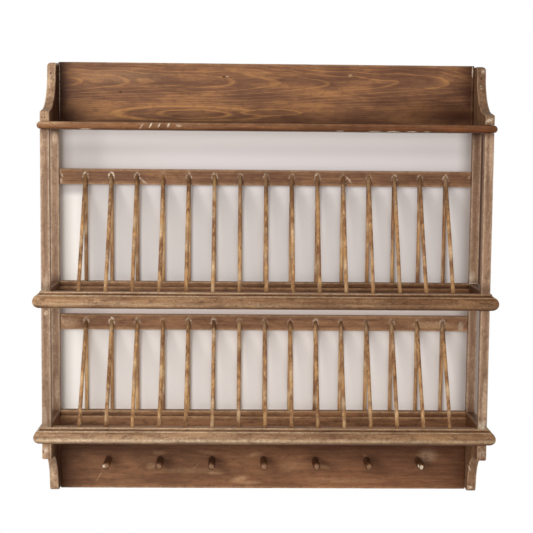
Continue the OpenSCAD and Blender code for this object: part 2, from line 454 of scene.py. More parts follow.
@dataclass(frozen=True)
class WoodFinish:
    """Aged softwood under wax, worn on its arrises and limed in its corners. Its colour carries painted shade
    too.

    Attributes:
        name: The finish's name.
        ground: Colour between the growth rings.
        line: Colour of the rings and of the light streaks.
        stain: Colour of the dark, waxed streaks.
        worn: Colour where the wax has been rubbed away.
        fade: Painted shade: what the colours are multiplied by at the rack's right end.
        figure: The growth rings.
        line_amount: How strongly the rings show.
        streak: How strongly the streaks show.
        tone: How strongly the broad patches show.
        mottle: How strongly the small blotches show.
        bloom: How strongly pale, limed flecks show.
        roughness: Roughness of the waxed face.
        seed: Shifts all the patterns.
    """

    name: str
    ground: Colour
    line: Colour
    stain: Colour
    worn: Colour
    fade: Colour = (0.8, 0.74, 0.68)
    figure: Figure = Figure()
    line_amount: float = 0.6
    streak: float = 0.6
    tone: float = 0.5
    mottle: float = 0.2
    bloom: float = 0.0
    roughness: float = 0.5
    seed: float = 0.0

    def material(self, axis: Axis, spots: Sequence[Spot] = (),
                 extra: Callable[[Paint], Signal] | None = None) -> bpy.types.Material:
        """Builds the material for a piece whose grain runs along one axis.

        Args:
            axis: Direction of the grain.
            spots: Small marks on it.
            extra: Adds lime at chosen places, as a signal from 0 to 1.

        Returns:
            The material.
        """
        paint = Paint(bpy.data.materials.new(f"{self.name}_{axis.name.lower()}_{self.seed:g}"))
        along = paint.point[axis.value]
        deep = paint.point[1] if axis is not Axis.Y else paint.point[0]
        wide = paint.point[2] if axis is not Axis.Z else paint.point[0]

        def grain(length: float, width: float, detail: float = 3.0) -> Signal:
            """Noise drawn out along the grain, each cloud about as long and wide as given."""
            place = paint.vector(along / length + self.seed, deep / width, wide / width + self.seed)
            return paint.noise(place, detail, 0.6)

        broad, band, fibre = grain(0.17, 0.04), grain(0.10, 0.007, 4.0), grain(0.035, 0.0018, 4.0)
        blotch, grit, speck = grain(0.016, 0.008), grain(0.006, 0.004), grain(0.0026, 0.0018)
        sway = paint.noise(paint.vector(along * 1.3 + self.seed + 7, 0.0, 0.0), 1.0) - 0.5
        lines = self.figure.lines(along, deep, wide, sway, grain(0.3, 0.1) - 0.5)

        colour = paint.blend(broad.step(0.36, 0.64) * self.tone, self.ground, self.stain)
        colour = paint.blend(broad.step(0.5, 0.34) * self.tone * 0.5, colour, self.line)
        colour = paint.blend(band.step(0.5, 0.7) * self.streak, colour, self.line)
        colour = paint.blend(band.step(0.47, 0.3) * self.streak, colour, self.stain)
        seen = (fibre * 0.6 + 0.5) * (broad.step(0.64, 0.42) * 0.6 + 0.4)
        colour = paint.blend((lines * seen * self.line_amount).lesser(1.0), colour, self.line)
        colour = paint.blend(fibre.step(0.52, 0.7) * 0.45, colour, self.stain)
        colour = paint.blend(fibre.step(0.47, 0.3) * self.streak * 0.6, colour, self.line)
        colour = paint.blend(blotch.step(0.5, 0.66) * self.mottle, colour, self.stain)
        flecks = speck.step(0.5, 0.62) * 0.6 + grit.step(0.54, 0.66) * 0.5
        colour = paint.blend(flecks * band.step(0.35, 0.6) * self.bloom, colour, self.worn)

        marks = {kind: paint.attribute(kind.value) for kind in Trace}
        for spot in spots:
            marks[spot.kind] = marks[spot.kind].greater(spot.signal(paint))
        rubbed = marks[WEAR] * (0.35 + grit.step(0.3, 0.66) * 0.5 + speck.step(0.4, 0.6) * 0.3)
        colour = paint.blend(rubbed.lesser(0.95), colour, self.worn)
        # Painted shade: the colours darken towards the rack's right end.
        colour = paint.blend(paint.point[0].step(-0.45, 0.45), colour, self.fade, "MULTIPLY")
        # Grime, and painted shade where the marks stand for it.
        colour = paint.blend((marks[GRIME] * (0.75 + broad * 0.5)).lesser(0.96), colour, GRIME_AND_SHADE_COLOUR)
        wash = marks[WASH]
        if extra is not None:
            wash = wash.greater(extra(paint))
        wash = wash * (speck.step(0.36, 0.6) * 0.75 + grit.step(0.3, 0.55) * 0.35)
        colour = paint.blend(wash.lesser(0.92), colour, LIME)

        height = fibre * 0.35 + grit * 0.25 + lines * 0.3 + band * 0.5
        bump = paint.node("ShaderNodeBump", {}, {"Strength": 0.28, "Distance": 0.0006, "Height": height})
        rough = (self.roughness + (grit - 0.5) * 0.16 + wash * 0.2).lesser(0.95)
        return paint.shade({"Base Color": colour, "Roughness": rough, "Normal": bump.outputs[0],
                            "Specular IOR Level": 0.12})


# The colour of grime and of painted shade.
GRIME_AND_SHADE_COLOUR = rgb(54, 22, 4)
LIME = rgb(240, 222, 196)

BOARD = WoodFinish("waxed_board", ground=rgb(130, 90, 61), line=rgb(160, 114, 72),
                   stain=rgb(86, 53, 34), worn=rgb(190, 152, 114), roughness=0.5)
POST = WoodFinish("limed_post", ground=rgb(148, 117, 92), line=rgb(166, 134, 104),
                  stain=rgb(98, 68, 50), worn=rgb(206, 178, 150), fade=(0.86, 0.82, 0.8),
                  roughness=0.55, line_amount=0.25, streak=0.3, tone=0.45, mottle=0.55, bloom=0.35)
MOULDING = WoodFinish("rubbed_moulding", ground=rgb(146, 107, 75), line=rgb(176, 138, 98),
                      stain=rgb(92, 60, 38), worn=rgb(240, 216, 182), fade=(0.6, 0.52, 0.45),
                      roughness=0.46, line_amount=0.2, streak=0.6, mottle=0.6, bloom=0.28)
RAIL = WoodFinish("front_rail", ground=rgb(140, 100, 68), line=rgb(170, 126, 86),
                  stain=rgb(88, 56, 36), worn=rgb(224, 186, 142), fade=(0.7, 0.62, 0.56),
                  mottle=0.5, bloom=0.15)
TRAY = WoodFinish("dark_tray", ground=rgb(110, 73, 50), line=rgb(148, 105, 71),
                  stain=rgb(58, 34, 21), worn=rgb(200, 162, 122), fade=(0.66, 0.58, 0.52),
                  roughness=0.5, line_amount=0.5, mottle=0.45, bloom=0.12)
SPINDLE = WoodFinish("golden_spindle", ground=rgb(170, 127, 84), line=rgb(204, 160, 106),
                     stain=rgb(104, 66, 44), worn=rgb(228, 202, 164), roughness=0.45,
                     fade=(0.94, 0.9, 0.88), line_amount=0.3, streak=0.85, tone=0.75, bloom=0.3)
BRACKET = WoodFinish("bracket", ground=rgb(148, 112, 84), line=rgb(180, 144, 112),
                     stain=rgb(96, 66, 47), worn=rgb(214, 184, 152), fade=(0.7, 0.68, 0.66),
                     roughness=0.5, line_amount=0.3, mottle=0.8, bloom=0.45)


# ---------------------------------------------------------------- worn shapes


def ripple(x: Array, seed: int, waves: Sequence[float]) -> Array:
    """A smooth random curve between about -1 and 1: a sum of sines of the given wavelengths.

    Args:
        x: Places along the piece.
        seed: Chooses the phases and strengths.
        waves: Wavelengths in metres.

    Returns:
        One value for each place.
    """
    random = np.random.default_rng(seed)
    total = np.zeros_like(x, dtype=float)
    for wave in waves:
        total += random.uniform(0.5, 1.0) * np.sin(2 * np.pi * x / wave + random.uniform(0, 2 * np.pi))
    return total / max(len(waves), 1)


@dataclass
class Surface:
    """A closed skin: a grid of points with its marks.

    Attributes:
        points: Rows by columns by 3. Columns run round the piece and join up.
        wear: Rubbed arrises, and on the shelf a painted highlight, given for each point, each row, each
            column or all at once.
        wash: Lime left behind, given likewise.
        grime: Dirt and painted shade, given likewise.
    """

    points: Array
    wear: Array
    wash: Array | float = 0.0
    grime: Array | float = 0.0

    def __post_init__(self) -> None:
        """Spreads each trace over the whole grid."""
        for kind in Trace:
            spread = np.broadcast_to(getattr(self, kind.value), self.points.shape[:2])
            setattr(self, kind.value, spread.copy())

    def outward(self) -> "Surface":
        """The same skin with its columns in the order that makes its faces point outwards.

        Returns:
            This skin or its mirrored copy.
        """
        if enclosed(self.points) >= 0:
            return self
        return Surface(*(a[:, ::-1] for a in (self.points, self.wear, self.wash, self.grime)))

    def faces(self, start: int = 0) -> list[tuple[int, ...]]:
        """Quads between the rows and one flat face on each end.

        Args:
            start: Number of the first point.

        Returns:
            The point numbers of each face.
        """
        rows, columns = self.points.shape[:2]
        index = start + np.arange(rows * columns).reshape(rows, columns)
        turned = np.roll(index, -1, axis=1)
        quads = np.stack([index[:-1], turned[:-1], turned[1:], index[1:]], axis=-1).reshape(-1, 4)
        ends = [tuple(index[0][::-1].tolist()), tuple(index[-1].tolist())]
        return [tuple(q) for q in quads.tolist()] + ends


def enclosed(points: Array) -> float:
    """Six times the volume inside a closed grid, from the triangles that its faces split into.

    Args:
        points: Rows by columns by 3.

    Returns:
        The value, negative where the faces point inwards.
    """
    turned = np.roll(points, -1, axis=1)
    a, b, c, d = points[:-1], turned[:-1], turned[1:], points[1:]
    total = np.einsum("ijk,ijk->", a, np.cross(b, c)) + np.einsum("ijk,ijk->", a, np.cross(c, d))
    for row, sign in ((points[0], -1.0), (points[-1], 1.0)):
        total += sign * np.einsum("ij,ij->", row[:1].repeat(len(row), 0), np.cross(row, np.roll(row, -1, 0)))
    return float(total)


@dataclass
class Bench:
    """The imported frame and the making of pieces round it.

    Attributes:
        record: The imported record.
    """

    record: dict[str, Any]

    def slot_of(self, node: str) -> str:
        """The material slot of a CAD node."""
        return next(s["material_slot"] for s in self.record["subparts"] if s["node"] == node)

    def make(self, name: str, surfaces: Iterable[Surface], material: bpy.types.Material, node: str,
             sharp: float = 40.0) -> None:
        """Puts closed skins into one mesh object that stands for a CAD node.

        Args:
            name: The piece's name.
            surfaces: Its closed skins.
            material: Its finish.
            node: The CAD node that it replaces.
            sharp: Edges that turn by more degrees than this stay sharp.
        """
        surfaces = [s.outward() for s in surfaces]
        points, faces = [], []
        count = 0
        for surface in surfaces:
            faces += surface.faces(count)
            points.append(surface.points.reshape(-1, 3))
            count += len(points[-1])
        mesh = bpy.data.meshes.new(name)
        mesh.from_pydata(np.concatenate(points).tolist(), [], faces)
        for kind in Trace:
            values = np.concatenate([getattr(s, kind.value).reshape(-1) for s in surfaces])
            layer = mesh.attributes.new(kind.value, "FLOAT", "POINT")
            layer.data.foreach_set("value", np.clip(values, 0.0, 1.0).astype(np.float32))
        mesh.shade_smooth()
        mesh.set_sharp_from_angle(angle=np.radians(sharp))
        mesh.materials.append(material)
        mesh.update()
        piece = bpy.data.objects.new(name, mesh)
        bpy.context.scene.collection.objects.link(piece)
        self.slot_of(node)
        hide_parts(node)
        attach(piece, "root")
        LOG.info("%s: %d points", name, count)


@dataclass
class Mark:
    """A patch of lime, wear, grime or painted shade near a point.

    Attributes:
        kind: What was left.
        centre: The patch's middle.
        reach: How far it spreads along X, Y and Z.
        amount: Its strength in the middle.
    """

    kind: Trace
    centre: Place
    reach: Place
    amount: float = 1.0

    def put_on(self, surface: Surface) -> None:
        """Adds the patch, falling off as a bell curve of the distance.

        Args:
            surface: The skin that it is put on.
        """
        away = (surface.points - np.array(self.centre)) / np.array(self.reach)
        bell = self.amount * np.exp(-(away ** 2).sum(axis=-1))
        setattr(surface, self.kind.value, np.maximum(getattr(surface, self.kind.value), bell))


def quarter_round(radius: float, count: int) -> tuple[Array, Array]:
    """Depth below an end face and draw-in from the sides, from the face to its arris's foot.

    Args:
        radius: Radius of the arris.
        count: Number of points.

    Returns:
        Both for each point of the quarter circle.
    """
    turn = np.linspace(0, np.pi / 2, count)
    return radius * (1 - np.cos(turn)), radius * (1 - np.sin(turn))


def rounded_rectangles(half: Array, radius: Array, side_points: int) -> tuple[Array, Array]:
    """One rectangle to each row, with quarter circles at its corners.

    A side's points lie closer together towards its ends, at (1 - cos(pi * share)) / 2 of it.

    Args:
        half: Half the width and half the height, rows by 2.
        radius: The corners' radius in each row.
        side_points: Points on a side, between two corners.

    Returns:
        The points, rows by columns by 2, and how far rubbing reaches each, 1 on the corners.
    """
    corner = np.linspace(0, np.pi / 2, 5)
    share = 0.5 - 0.5 * np.cos(np.pi * np.linspace(0, 1, side_points + 2)[1:-1])
    bends = []
    for number, sign in enumerate(((1, 1), (-1, 1), (-1, -1), (1, -1))):
        angle = corner + number * np.pi / 2
        circle = np.stack([np.cos(angle), np.sin(angle)], axis=-1)
        centre = (half - radius[:, None]) * sign
        bends.append(centre[:, None] + radius[:, None, None] * circle)
    points, bright = [], []
    for bend, following in zip(bends, bends[1:] + bends[:1]):
        start = bend[:, -1:]
        run = following[:, :1] - start
        away = np.minimum(share, 1 - share) * np.linalg.norm(run, axis=-1)
        points += [bend, start + run * share[:, None]]
        bright += [np.ones(bend.shape[:2]), np.exp(-away / RUB_WIDTH)]
    return np.concatenate(points, axis=1), np.concatenate(bright, axis=1)


@dataclass
class Bar:
    """A straight piece of timber with rounded, worn arrises.

    Attributes:
        low: Lowest corner.
        high: Highest corner.
        axis: Direction of its length.
        arris: Radius of its long edges.
        step: Distance between the rows of points.
        side_points: Points across each face.
        seed: Chooses its unevenness.
        wear: How bright its arrises are.
        uneven: Depth of its hollows.
        marks: Patches on it.
        extra_rows: More places along it that get a row of points.
    """

    low: Array
    high: Array
    axis: Axis
    arris: float = 1.4 * MM
    step: float = 4 * MM
    side_points: int = 6
    seed: int = 0
    wear: float = 0.8
    uneven: float = 0.25 * MM
    marks: list[Mark] = field(default_factory=list)
    extra_rows: Sequence[float] = ()

    def surface(self) -> Surface:
        """Carries a rounded rectangle along the length.

        The rectangle's corners are quarter circles whose radius wanders along the piece, its sides
        draw in by a smooth random depth, and near both ends it shrinks by the rise of a quarter
        circle, which rounds the end arrises.

        Returns:
            The closed skin.
        """
        lengthwise = self.axis.value
        across = [i for i in range(3) if i != lengthwise]
        size, middle = self.high - self.low, (self.high + self.low) / 2
        length = size[lengthwise]
        inner = np.linspace(self.arris, length - self.arris, max(int(length / self.step), 8))
        inner = np.unique(np.concatenate([inner, self.extra_rows]).round(6))
        ends, draw = (values[:-1] for values in quarter_round(self.arris, 4))
        place = np.concatenate([ends, inner, (length - ends)[::-1]])
        shrink = np.concatenate([draw, np.zeros(len(inner)), draw[::-1]])

        half = np.zeros((len(place), 2))
        for i, direction in enumerate(across):
            hollow = self.uneven * (0.5 + 0.5 * ripple(place, self.seed + 11 + i, (0.4, 0.13, 0.05)))
            half[:, i] = size[direction] / 2 - shrink - np.clip(hollow, 0, None)
        radius = self.arris * (1.15 + 0.45 * ripple(place, self.seed, (0.31, 0.083, 0.029)))
        radius = np.minimum(radius, half.min(axis=1) * 0.9)
        grid, bright = rounded_rectangles(half, radius, self.side_points)
        points = np.zeros((*bright.shape, 3))
        points[..., across] = middle[across] + grid
        points[..., lengthwise] = self.low[lengthwise] + place[:, None]
        rub = 0.75 + 0.35 * ripple(place, self.seed + 5, (0.19, 0.07, 0.024))
        skin = Surface(points, bright * np.clip(rub, 0.1, 1)[:, None] * self.wear)
        for mark in self.marks:
            mark.put_on(skin)
        return skin


def round_trip(points: Array) -> tuple[Array, Array]:
    """Directions along and away from a closed outline, by central differences.

    Args:
        points: The outline, N by 2, counterclockwise.

    Returns:
        Unit tangents and outward unit normals.
    """
    ahead = np.roll(points, -1, 0) - points
    behind = points - np.roll(points, 1, 0)
    ahead /= np.linalg.norm(ahead, axis=1, keepdims=True)
    behind /= np.linalg.norm(behind, axis=1, keepdims=True)
    tangent = ahead + behind
    tangent /= np.linalg.norm(tangent, axis=1, keepdims=True)
    return tangent, np.stack([tangent[:, 1], -tangent[:, 0]], axis=1)


def resample(points: Array, spacing: float) -> Array:
    """Even points along a closed outline, which round its corners by about half the spacing.

    Args:
        points: The outline's corners, N by 2.
        spacing: Distance between the new points.

    Returns:
        The new outline.
    """
    closed = np.vstack([points, points[:1]])
    gone = np.concatenate([[0], np.cumsum(np.linalg.norm(np.diff(closed, axis=0), axis=1))])
    count = max(int(gone[-1] / spacing), 12)
    place = np.linspace(0, gone[-1], count, endpoint=False) + spacing / 2
    place %= gone[-1]
    place.sort()
    return np.stack([np.interp(place, gone, closed[:, i]) for i in range(2)], axis=1)


def arc(centre: Sequence[float], radii: Sequence[float], start: float, stop: float, count: int) -> Array:
    """Points on a stretch of an ellipse, from one angle to another in degrees.

    Args:
        centre: The ellipse's middle.
        radii: Its two half widths.
        start: The first angle.
        stop: The last angle.
        count: Number of points.

    Returns:
        The points, count by 2.
    """
    angle = np.radians(np.linspace(start, stop, count))
    return np.stack([centre[0] + radii[0] * np.cos(angle), centre[1] + radii[1] * np.sin(angle)], axis=1)


@dataclass
class Board:
    """A flat board sawn to an outline, with rounded, worn arrises.

    Attributes:
        outline: Counterclockwise outline in Y and Z.
        low: Lowest X.
        high: Highest X.
        arris: Radius of its edges.
        rim: Width of the rubbed edge on its faces.
        seed: Chooses its unevenness.
        wear: How bright its arrises are.
    """

    outline: Array
    low: float
    high: float
    arris: float = 1.3 * MM
    rim: float = 0.3 * MM
    seed: int = 0
    wear: float = 0.85

    def surface(self) -> Surface:
        """Carries the outline across the thickness.

        Near each face the outline is drawn in along its normals by the rise of a quarter circle.
        One more ring, just inside it, lies on the face and ends the rubbed edge. It stays within
        what the resampled corners can be drawn in by, so it never crosses itself.

        Returns:
            The closed skin.
        """
        _, normal = round_trip(self.outline)
        thick = self.high - self.low
        depth, inset = quarter_round(self.arris, 5)
        core = np.linspace(self.arris, thick - self.arris, 14)[1:-1]
        innermost = [self.arris + self.rim]
        place = np.concatenate([[0], depth, core, (thick - depth)[::-1], [thick]])
        draw = np.concatenate([innermost, inset, np.zeros(len(core)), inset[::-1], innermost])
        edge = np.linspace(0.8, 1, 5)
        bright = np.concatenate([[0], edge, np.full(len(core), 0.25), edge[::-1], [0]])
        walk = np.arange(len(self.outline)) * 1.0
        dip = 0.15 * MM * (1 + ripple(walk, self.seed, (37.0, 11.0)))
        points = np.zeros((len(place), len(self.outline), 3))
        points[..., 0] = (self.low + place)[:, None]
        points[..., 1:] = self.outline - normal * (draw[:, None] + dip)[..., None]
        rub = np.clip(0.75 + 0.4 * ripple(walk, self.seed + 3, (41.0, 17.0, 7.0)), 0.1, 1)
        return Surface(points, bright[:, None] * rub * self.wear)


def fall_off(place: Array, edge: float, radius: float) -> Array:
    """How far a quarter circle falls below its crown on the way out to an edge.

    Args:
        place: Places across the piece.
        edge: The outermost place.
        radius: Radius of the quarter circle.

    Returns:
        One drop for each place.
    """
    into = np.clip(1 - (edge - place) / radius, 0, 1)
    return radius * (1 - np.sqrt(1 - into ** 2))


# ---------------------------------------------------------------- small marks


# Y of the fronts that carry small marks.
POST_FACE = -150 * MM
LOBE_FACE = -48 * MM
BACK_FACE = -18 * MM
PLATE_RAIL_FACE = -14 * MM

BRACKET_SPOTS = {
    "top_bracket_left": (
        Spot(GRIME, (-0.4305, POST_FACE, -0.0515), (0.0014, 0.004, 0.0014)),
        Spot(GRIME, (-0.4253, POST_FACE, -0.0515), (0.0014, 0.004, 0.0014)),
        Spot(GRIME, (-0.4282, LOBE_FACE, 0.0363), (0.0016, 0.004, 0.0022)),
        # Painted shade over the bracket's inner face.
        Spot(GRIME, (-0.4170, -0.070, 0.0), (0.0022, 0.090, 0.120), 0.9),
        Spot(WEAR, (-0.4300, LOBE_FACE, 0.020), (0.0030, 0.012, 0.030), 0.7),
        Spot(WASH, (-0.4180, -0.025, 0.0560), (0.0040, 0.030, 0.0040), 0.5),
    ),
    "top_bracket_right": (
        Spot(GRIME, (0.4256, LOBE_FACE, 0.0344), (0.0016, 0.004, 0.0022)),
        Spot(WASH, (0.4240, POST_FACE, -0.0500), (0.0070, 0.004, 0.0040), 0.5, 1.0),
        Spot(WEAR, (0.4270, POST_FACE, -0.0480), (0.0090, 0.004, 0.0110), 0.45),
        Spot(WASH, (0.4290, LOBE_FACE, 0.0480), (0.0040, 0.004, 0.0050), 0.45),
        Spot(WASH, (0.4250, -0.049, 0.0150), (0.0040, 0.006, 0.0060), 0.3),
    ),
    "bottom_bracket_left": (
        Spot(GRIME, (-0.4327, POST_FACE, -0.6995), (0.0013, 0.004, 0.0018)),
        Spot(GRIME, (-0.4298, POST_FACE, -0.6941), (0.0013, 0.004, 0.0018)),
        Spot(WASH, (-0.4275, POST_FACE, -0.6965), (0.0040, 0.004, 0.0060), 0.6),
        # Painted shade over the bracket's inner face.
        Spot(GRIME, (-0.4170, -0.070, -0.75), (0.0022, 0.090, 0.080), 0.9),
        Spot(WEAR, (-0.4300, -0.050, -0.760), (0.0050, 0.014, 0.028), 0.8),
    ),
    "bottom_bracket_right": (
        Spot(GRIME, (0.4272, POST_FACE, -0.7025), (0.0013, 0.004, 0.0018)),
        Spot(WASH, (0.4260, POST_FACE, -0.7010), (0.0075, 0.004, 0.0090), 0.22),
        Spot(WASH, (0.4189, -0.062, -0.7532), (0.0016, 0.020, 0.0065), 0.6, -0.5),
        Spot(WASH, (0.4231, LOBE_FACE, -0.7960), (0.0050, 0.006, 0.0035), 0.6),
        Spot(WEAR, (0.4300, -0.100, -0.725), (0.0060, 0.030, 0.012), 0.7),
    ),
}
BACK_SPOTS = on_face(BACK_FACE, (
    (WASH, -0.4147, 0.012, 0.0011, 0.060, 0.6),
    (WASH, 0.4131, 0.049, 0.0013, 0.011, 0.85),
    (WEAR, 0.4131, 0.0, 0.0018, 0.070),
    (WEAR, -0.2900, 0.0340, 0.0900, 0.0150, 0.2),
    (GRIME, -0.2931, 0.0022, 0.0035, 0.0024, 0.7),
    (GRIME, -0.0862, 0.0340, 0.0040, 0.0026, 0.7),
    (WASH, -0.0800, 0.0352, 0.0030, 0.0012, 0.5),
    (WEAR, 0.1674, 0.0392, 0.0040, 0.0030, 0.8),
))
SHELF_SPOTS = on_face(-0.155, (
    (WASH, -0.2409, -0.0666, 0.0016, 0.0055, 0.55, 0.7),
    (WASH, -0.2238, -0.0648, 0.0016, 0.0050, 0.85, 0.5),
    (WASH, -0.2076, -0.0650, 0.0015, 0.0048, 0.75, 0.5),
    (WASH, -0.1896, -0.0640, 0.0020, 0.0045, 0.75, 0.3),
    (WASH, -0.1700, -0.0650, 0.0060, 0.0030, 0.3),
), 6 * MM) + on_face(-0.152, (
    (WASH, -0.3480, -0.0732, 0.0110, 0.0012, 0.9),
    (WASH, 0.1375, -0.0728, 0.0080, 0.0010, 0.6),
    (WASH, 0.2050, -0.0728, 0.0130, 0.0010, 0.6),
    (WASH, 0.2400, -0.0728, 0.0120, 0.0012, 0.8),
    (WASH, 0.2750, -0.0728, 0.0100, 0.0012, 0.8),
    (WASH, 0.3050, -0.0728, 0.0060, 0.0010, 0.7),
), 6 * MM)
PLATE_RAIL_SPOTS = {
    Tier.UPPER: on_face(PLATE_RAIL_FACE, (
        (WASH, -0.2510, -0.1730, 0.0034, 0.0090, 0.5, -1.2),
        (WASH, 0.1600, -0.1771, 0.0017, 0.0017),
        (WASH, 0.1680, -0.1700, 0.0024, 0.0070, 0.5, -0.8),
        (WASH, -0.4130, -0.1760, 0.0030, 0.0050, 0.4),
    )),
    Tier.LOWER: on_face(PLATE_RAIL_FACE, (
        (WASH, -0.4000, -0.4640, 0.0160, 0.0100, 0.12),
        (WEAR, -0.3960, -0.4660, 0.0220, 0.0140, 0.45),
        (WEAR, 0.3400, -0.4660, 0.0500, 0.0090, 0.7),
        (WASH, 0.4020, -0.4680, 0.0060, 0.0100, 0.35),
    )),
}
PEG_BOARD_SPOTS = on_face(BACK_FACE, (
    (WEAR, -0.0500, -0.7880, 0.0150, 0.0070, 0.6, 1.2),
    (WEAR, -0.0300, -0.7950, 0.0280, 0.0040, 0.4),
    (WEAR, -0.0999, -0.7753, 0.0180, 0.0035, 0.4),
    (WEAR, -0.3380, -0.7830, 0.0014, 0.0110, 0.5, 0.6),
    (WEAR, -0.2150, -0.7330, 0.0140, 0.0050, 0.3),
    (WEAR, -0.2300, -0.7610, 0.0110, 0.0080, 0.35),
    (WEAR, -0.1150, -0.7320, 0.0170, 0.0050, 0.35, -2.0),
    (WEAR, -0.0180, -0.7360, 0.0150, 0.0060, 0.45, 1.5),
    (WEAR, -0.1400, -0.7620, 0.0012, 0.0080, 0.4, 1.0),
    (WEAR, 0.1250, -0.7620, 0.0090, 0.0060, 0.4, -1.0),
    (WEAR, 0.2130, -0.7420, 0.0050, 0.0080, 0.35, -0.8),
    (WASH, 0.3380, -0.7380, 0.0190, 0.0130, 0.1),
    (WEAR, 0.3380, -0.7380, 0.0220, 0.0160, 0.4),
    (WEAR, 0.1650, -0.7900, 0.0900, 0.0060, 0.25),
    (WEAR, -0.1500, -0.7700, 0.0600, 0.0060, 0.2),
    (WEAR, 0.0600, -0.7600, 0.0300, 0.0120, 0.2),
    (GRIME, 0.1000, -0.7420, 0.0220, 0.0050, 0.5),
))
PEG_SPOTS = {
    1: (Spot(WASH, (-0.3225, -0.080, -0.7462), (0.0034, 0.006, 0.0034)),),
    7: (Spot(WASH, (0.3180, -0.080, -0.7465), (0.0034, 0.006, 0.0044), 0.9),
        Spot(WASH, (0.3120, -0.078, -0.7440), (0.0016, 0.010, 0.0030), 0.8)),
}
POST_SPOTS = {
    "front_post_left": on_face(POST_FACE, (
        (WEAR, -0.4253, -0.4272, 0.005, 0.005, 0.8),
        (WEAR, -0.4270, -0.375, 0.006, 0.024, 0.7, 0.15),
        (WEAR, -0.4300, -0.640, 0.006, 0.030, 0.7),
    )),
    "front_post_right": on_face(POST_FACE, (
        (WASH, 0.4250, -0.6470, 0.009, 0.012, 0.5, 0.2),
        (WEAR, 0.4300, -0.120, 0.005, 0.060, 0.6),
        (WEAR, 0.4290, -0.600, 0.006, 0.050, 0.7),
    )),
    "rear_post_left": on_face(BACK_FACE, (
        (WEAR, -0.4250, -0.090, 0.007, 0.014, 0.9),
        (WEAR, -0.4230, -0.600, 0.006, 0.030, 0.6),
    )),
    "rear_post_right": on_face(BACK_FACE, (
        (WASH, 0.4230, -0.3800, 0.012, 0.003, 0.9),
        (WASH, 0.4200, -0.3660, 0.009, 0.012, 0.45),
    )),
}


# ---------------------------------------------------------------- sub-assemblies


@dataclass
class Posts:
    """The four square posts.

    Attributes:
        bench: Where pieces are made.
        tenon: Length of the tenons that their CAD solids have at the top and the foot.
    """

    bench: Bench
    tenon: float = 10 * MM

    def build(self) -> None:
        """Makes each post between its tenons, in its CAD box."""
        for number, (row, side) in enumerate((row, side) for row in Row for side, _ in SIDES):
            node = f"{row.value}_post_{side}"
            low, high = between_tenons(node, Axis.Z, self.tenon)
            finish = replace(POST, seed=3.0 + number * 11)
            if row is Row.REAR:
                finish = replace(finish, ground=rgb(136, 105, 82))
            bar = Bar(low, high, Axis.Z, seed=20 + number, side_points=4,
                      marks=self.marks(side, low, high))
            material = finish.material(Axis.Z, POST_SPOTS[node])
            self.bench.make(f"timber_{node}", [bar.surface()], material, node)

    def marks(self, side: str, low: Array, high: Array) -> list[Mark]:
        """Painted shade where a post meets the shelf and the trays, and darkening low down on the left posts.

        Args:
            side: "left" or "right".
            low: Its lowest corner.
            high: Its highest corner.

        Returns:
            The patches.
        """
        x, y = (low + high)[:2] / 2
        marks = [Mark(GRIME, (x, y, high[2]), (0.05, 0.05, 0.008), 0.7)]
        if side == "left":
            marks.append(Mark(GRIME, (x, y, -0.62), (0.05, 0.05, 0.14), 0.27))
        for tier in Tier:
            tray_top = cad_box(f"{tier.value}_tray_rear_rail")[1][2]
            marks.append(Mark(GRIME, (x, y, tray_top + 1 * MM), (0.05, 0.05, 0.010), 0.5))
        return marks


@dataclass
class Mould:
    """The applied moulding's section, worked out as the CAD solid's is.

    Attributes:
        height: From the tray's underside to the fillet's top.
        reach: Projection from the posts.
        nose: Height of the nose.
        fillet: Width and height of the top fillet.
        hollow: Radius of the hollow.
        crown_over: Rise of the ovolo's crown over the foot of the hollow.
    """

    height: float = 32.5 * MM
    reach: float = 15 * MM
    nose: float = 14 * MM
    fillet: tuple[float, float] = (3.2 * MM, 1.2 * MM)
    hollow: float = 4.8 * MM
    crown_over: float = 1 * MM

    def section(self, rubbed_foot: float) -> tuple[Array, Array, Array]:
        """Points round the section and what time has done to each.

        Args:
            rubbed_foot: How bright the lower part of the ovolo is.

        Returns:
            Points in outward distance and height, wear, and painted shade from 0 to 1.
        """
        inner, lip = self.fillet[0], self.fillet[0] + self.hollow
        foot = self.height - self.fillet[1] - self.hollow
        rise = foot - self.nose
        crown = rise + self.crown_over
        share = np.sqrt(1 - (rise / crown) ** 2)
        centre = (lip - share * self.reach) / (1 - share)
        soft = 0.4 * MM
        start = float(np.degrees(np.arcsin(rise / crown)))
        outline = np.vstack([
            [[0.0, self.height]],
            [[inner - soft, self.height], [inner, self.height - soft]],
            arc((lip, foot + self.hollow), (self.hollow,) * 2, 180, 270, 9),
            arc((centre, self.nose), (self.reach - centre, crown), start, 0, 9),
            arc((0, self.nose), (self.reach, self.nose), 0, -90, 12)[1:],
        ])[::-1]
        points = resample(outline, 0.7 * MM)

        def near(u: float, height: float, reach: float) -> Array:
            """A bell curve of the distance from one place on the section."""
            return np.exp(-(((points - (u, height)) / reach) ** 2).sum(axis=1))

        wear = near(inner, self.height, 1.2 * MM) + near(lip + 0.8 * MM, foot, 1.7 * MM)
        wear += rubbed_foot * near(0.97 * self.reach, 9.5 * MM, 3.6 * MM)
        wear += rubbed_foot * near(0.28 * self.reach, 0, 1.6 * MM)
        # Painted shade in the hollow's crease and under the nose.
        grime = 0.8 * near(inner + 0.8 * MM, foot + 1.6 * MM, 1.4 * MM)
        grime += 0.7 * near(0.58 * self.reach, 2.4 * MM, 1.8 * MM)
        return points, np.clip(wear, 0, 1), np.clip(grime, 0, 1)


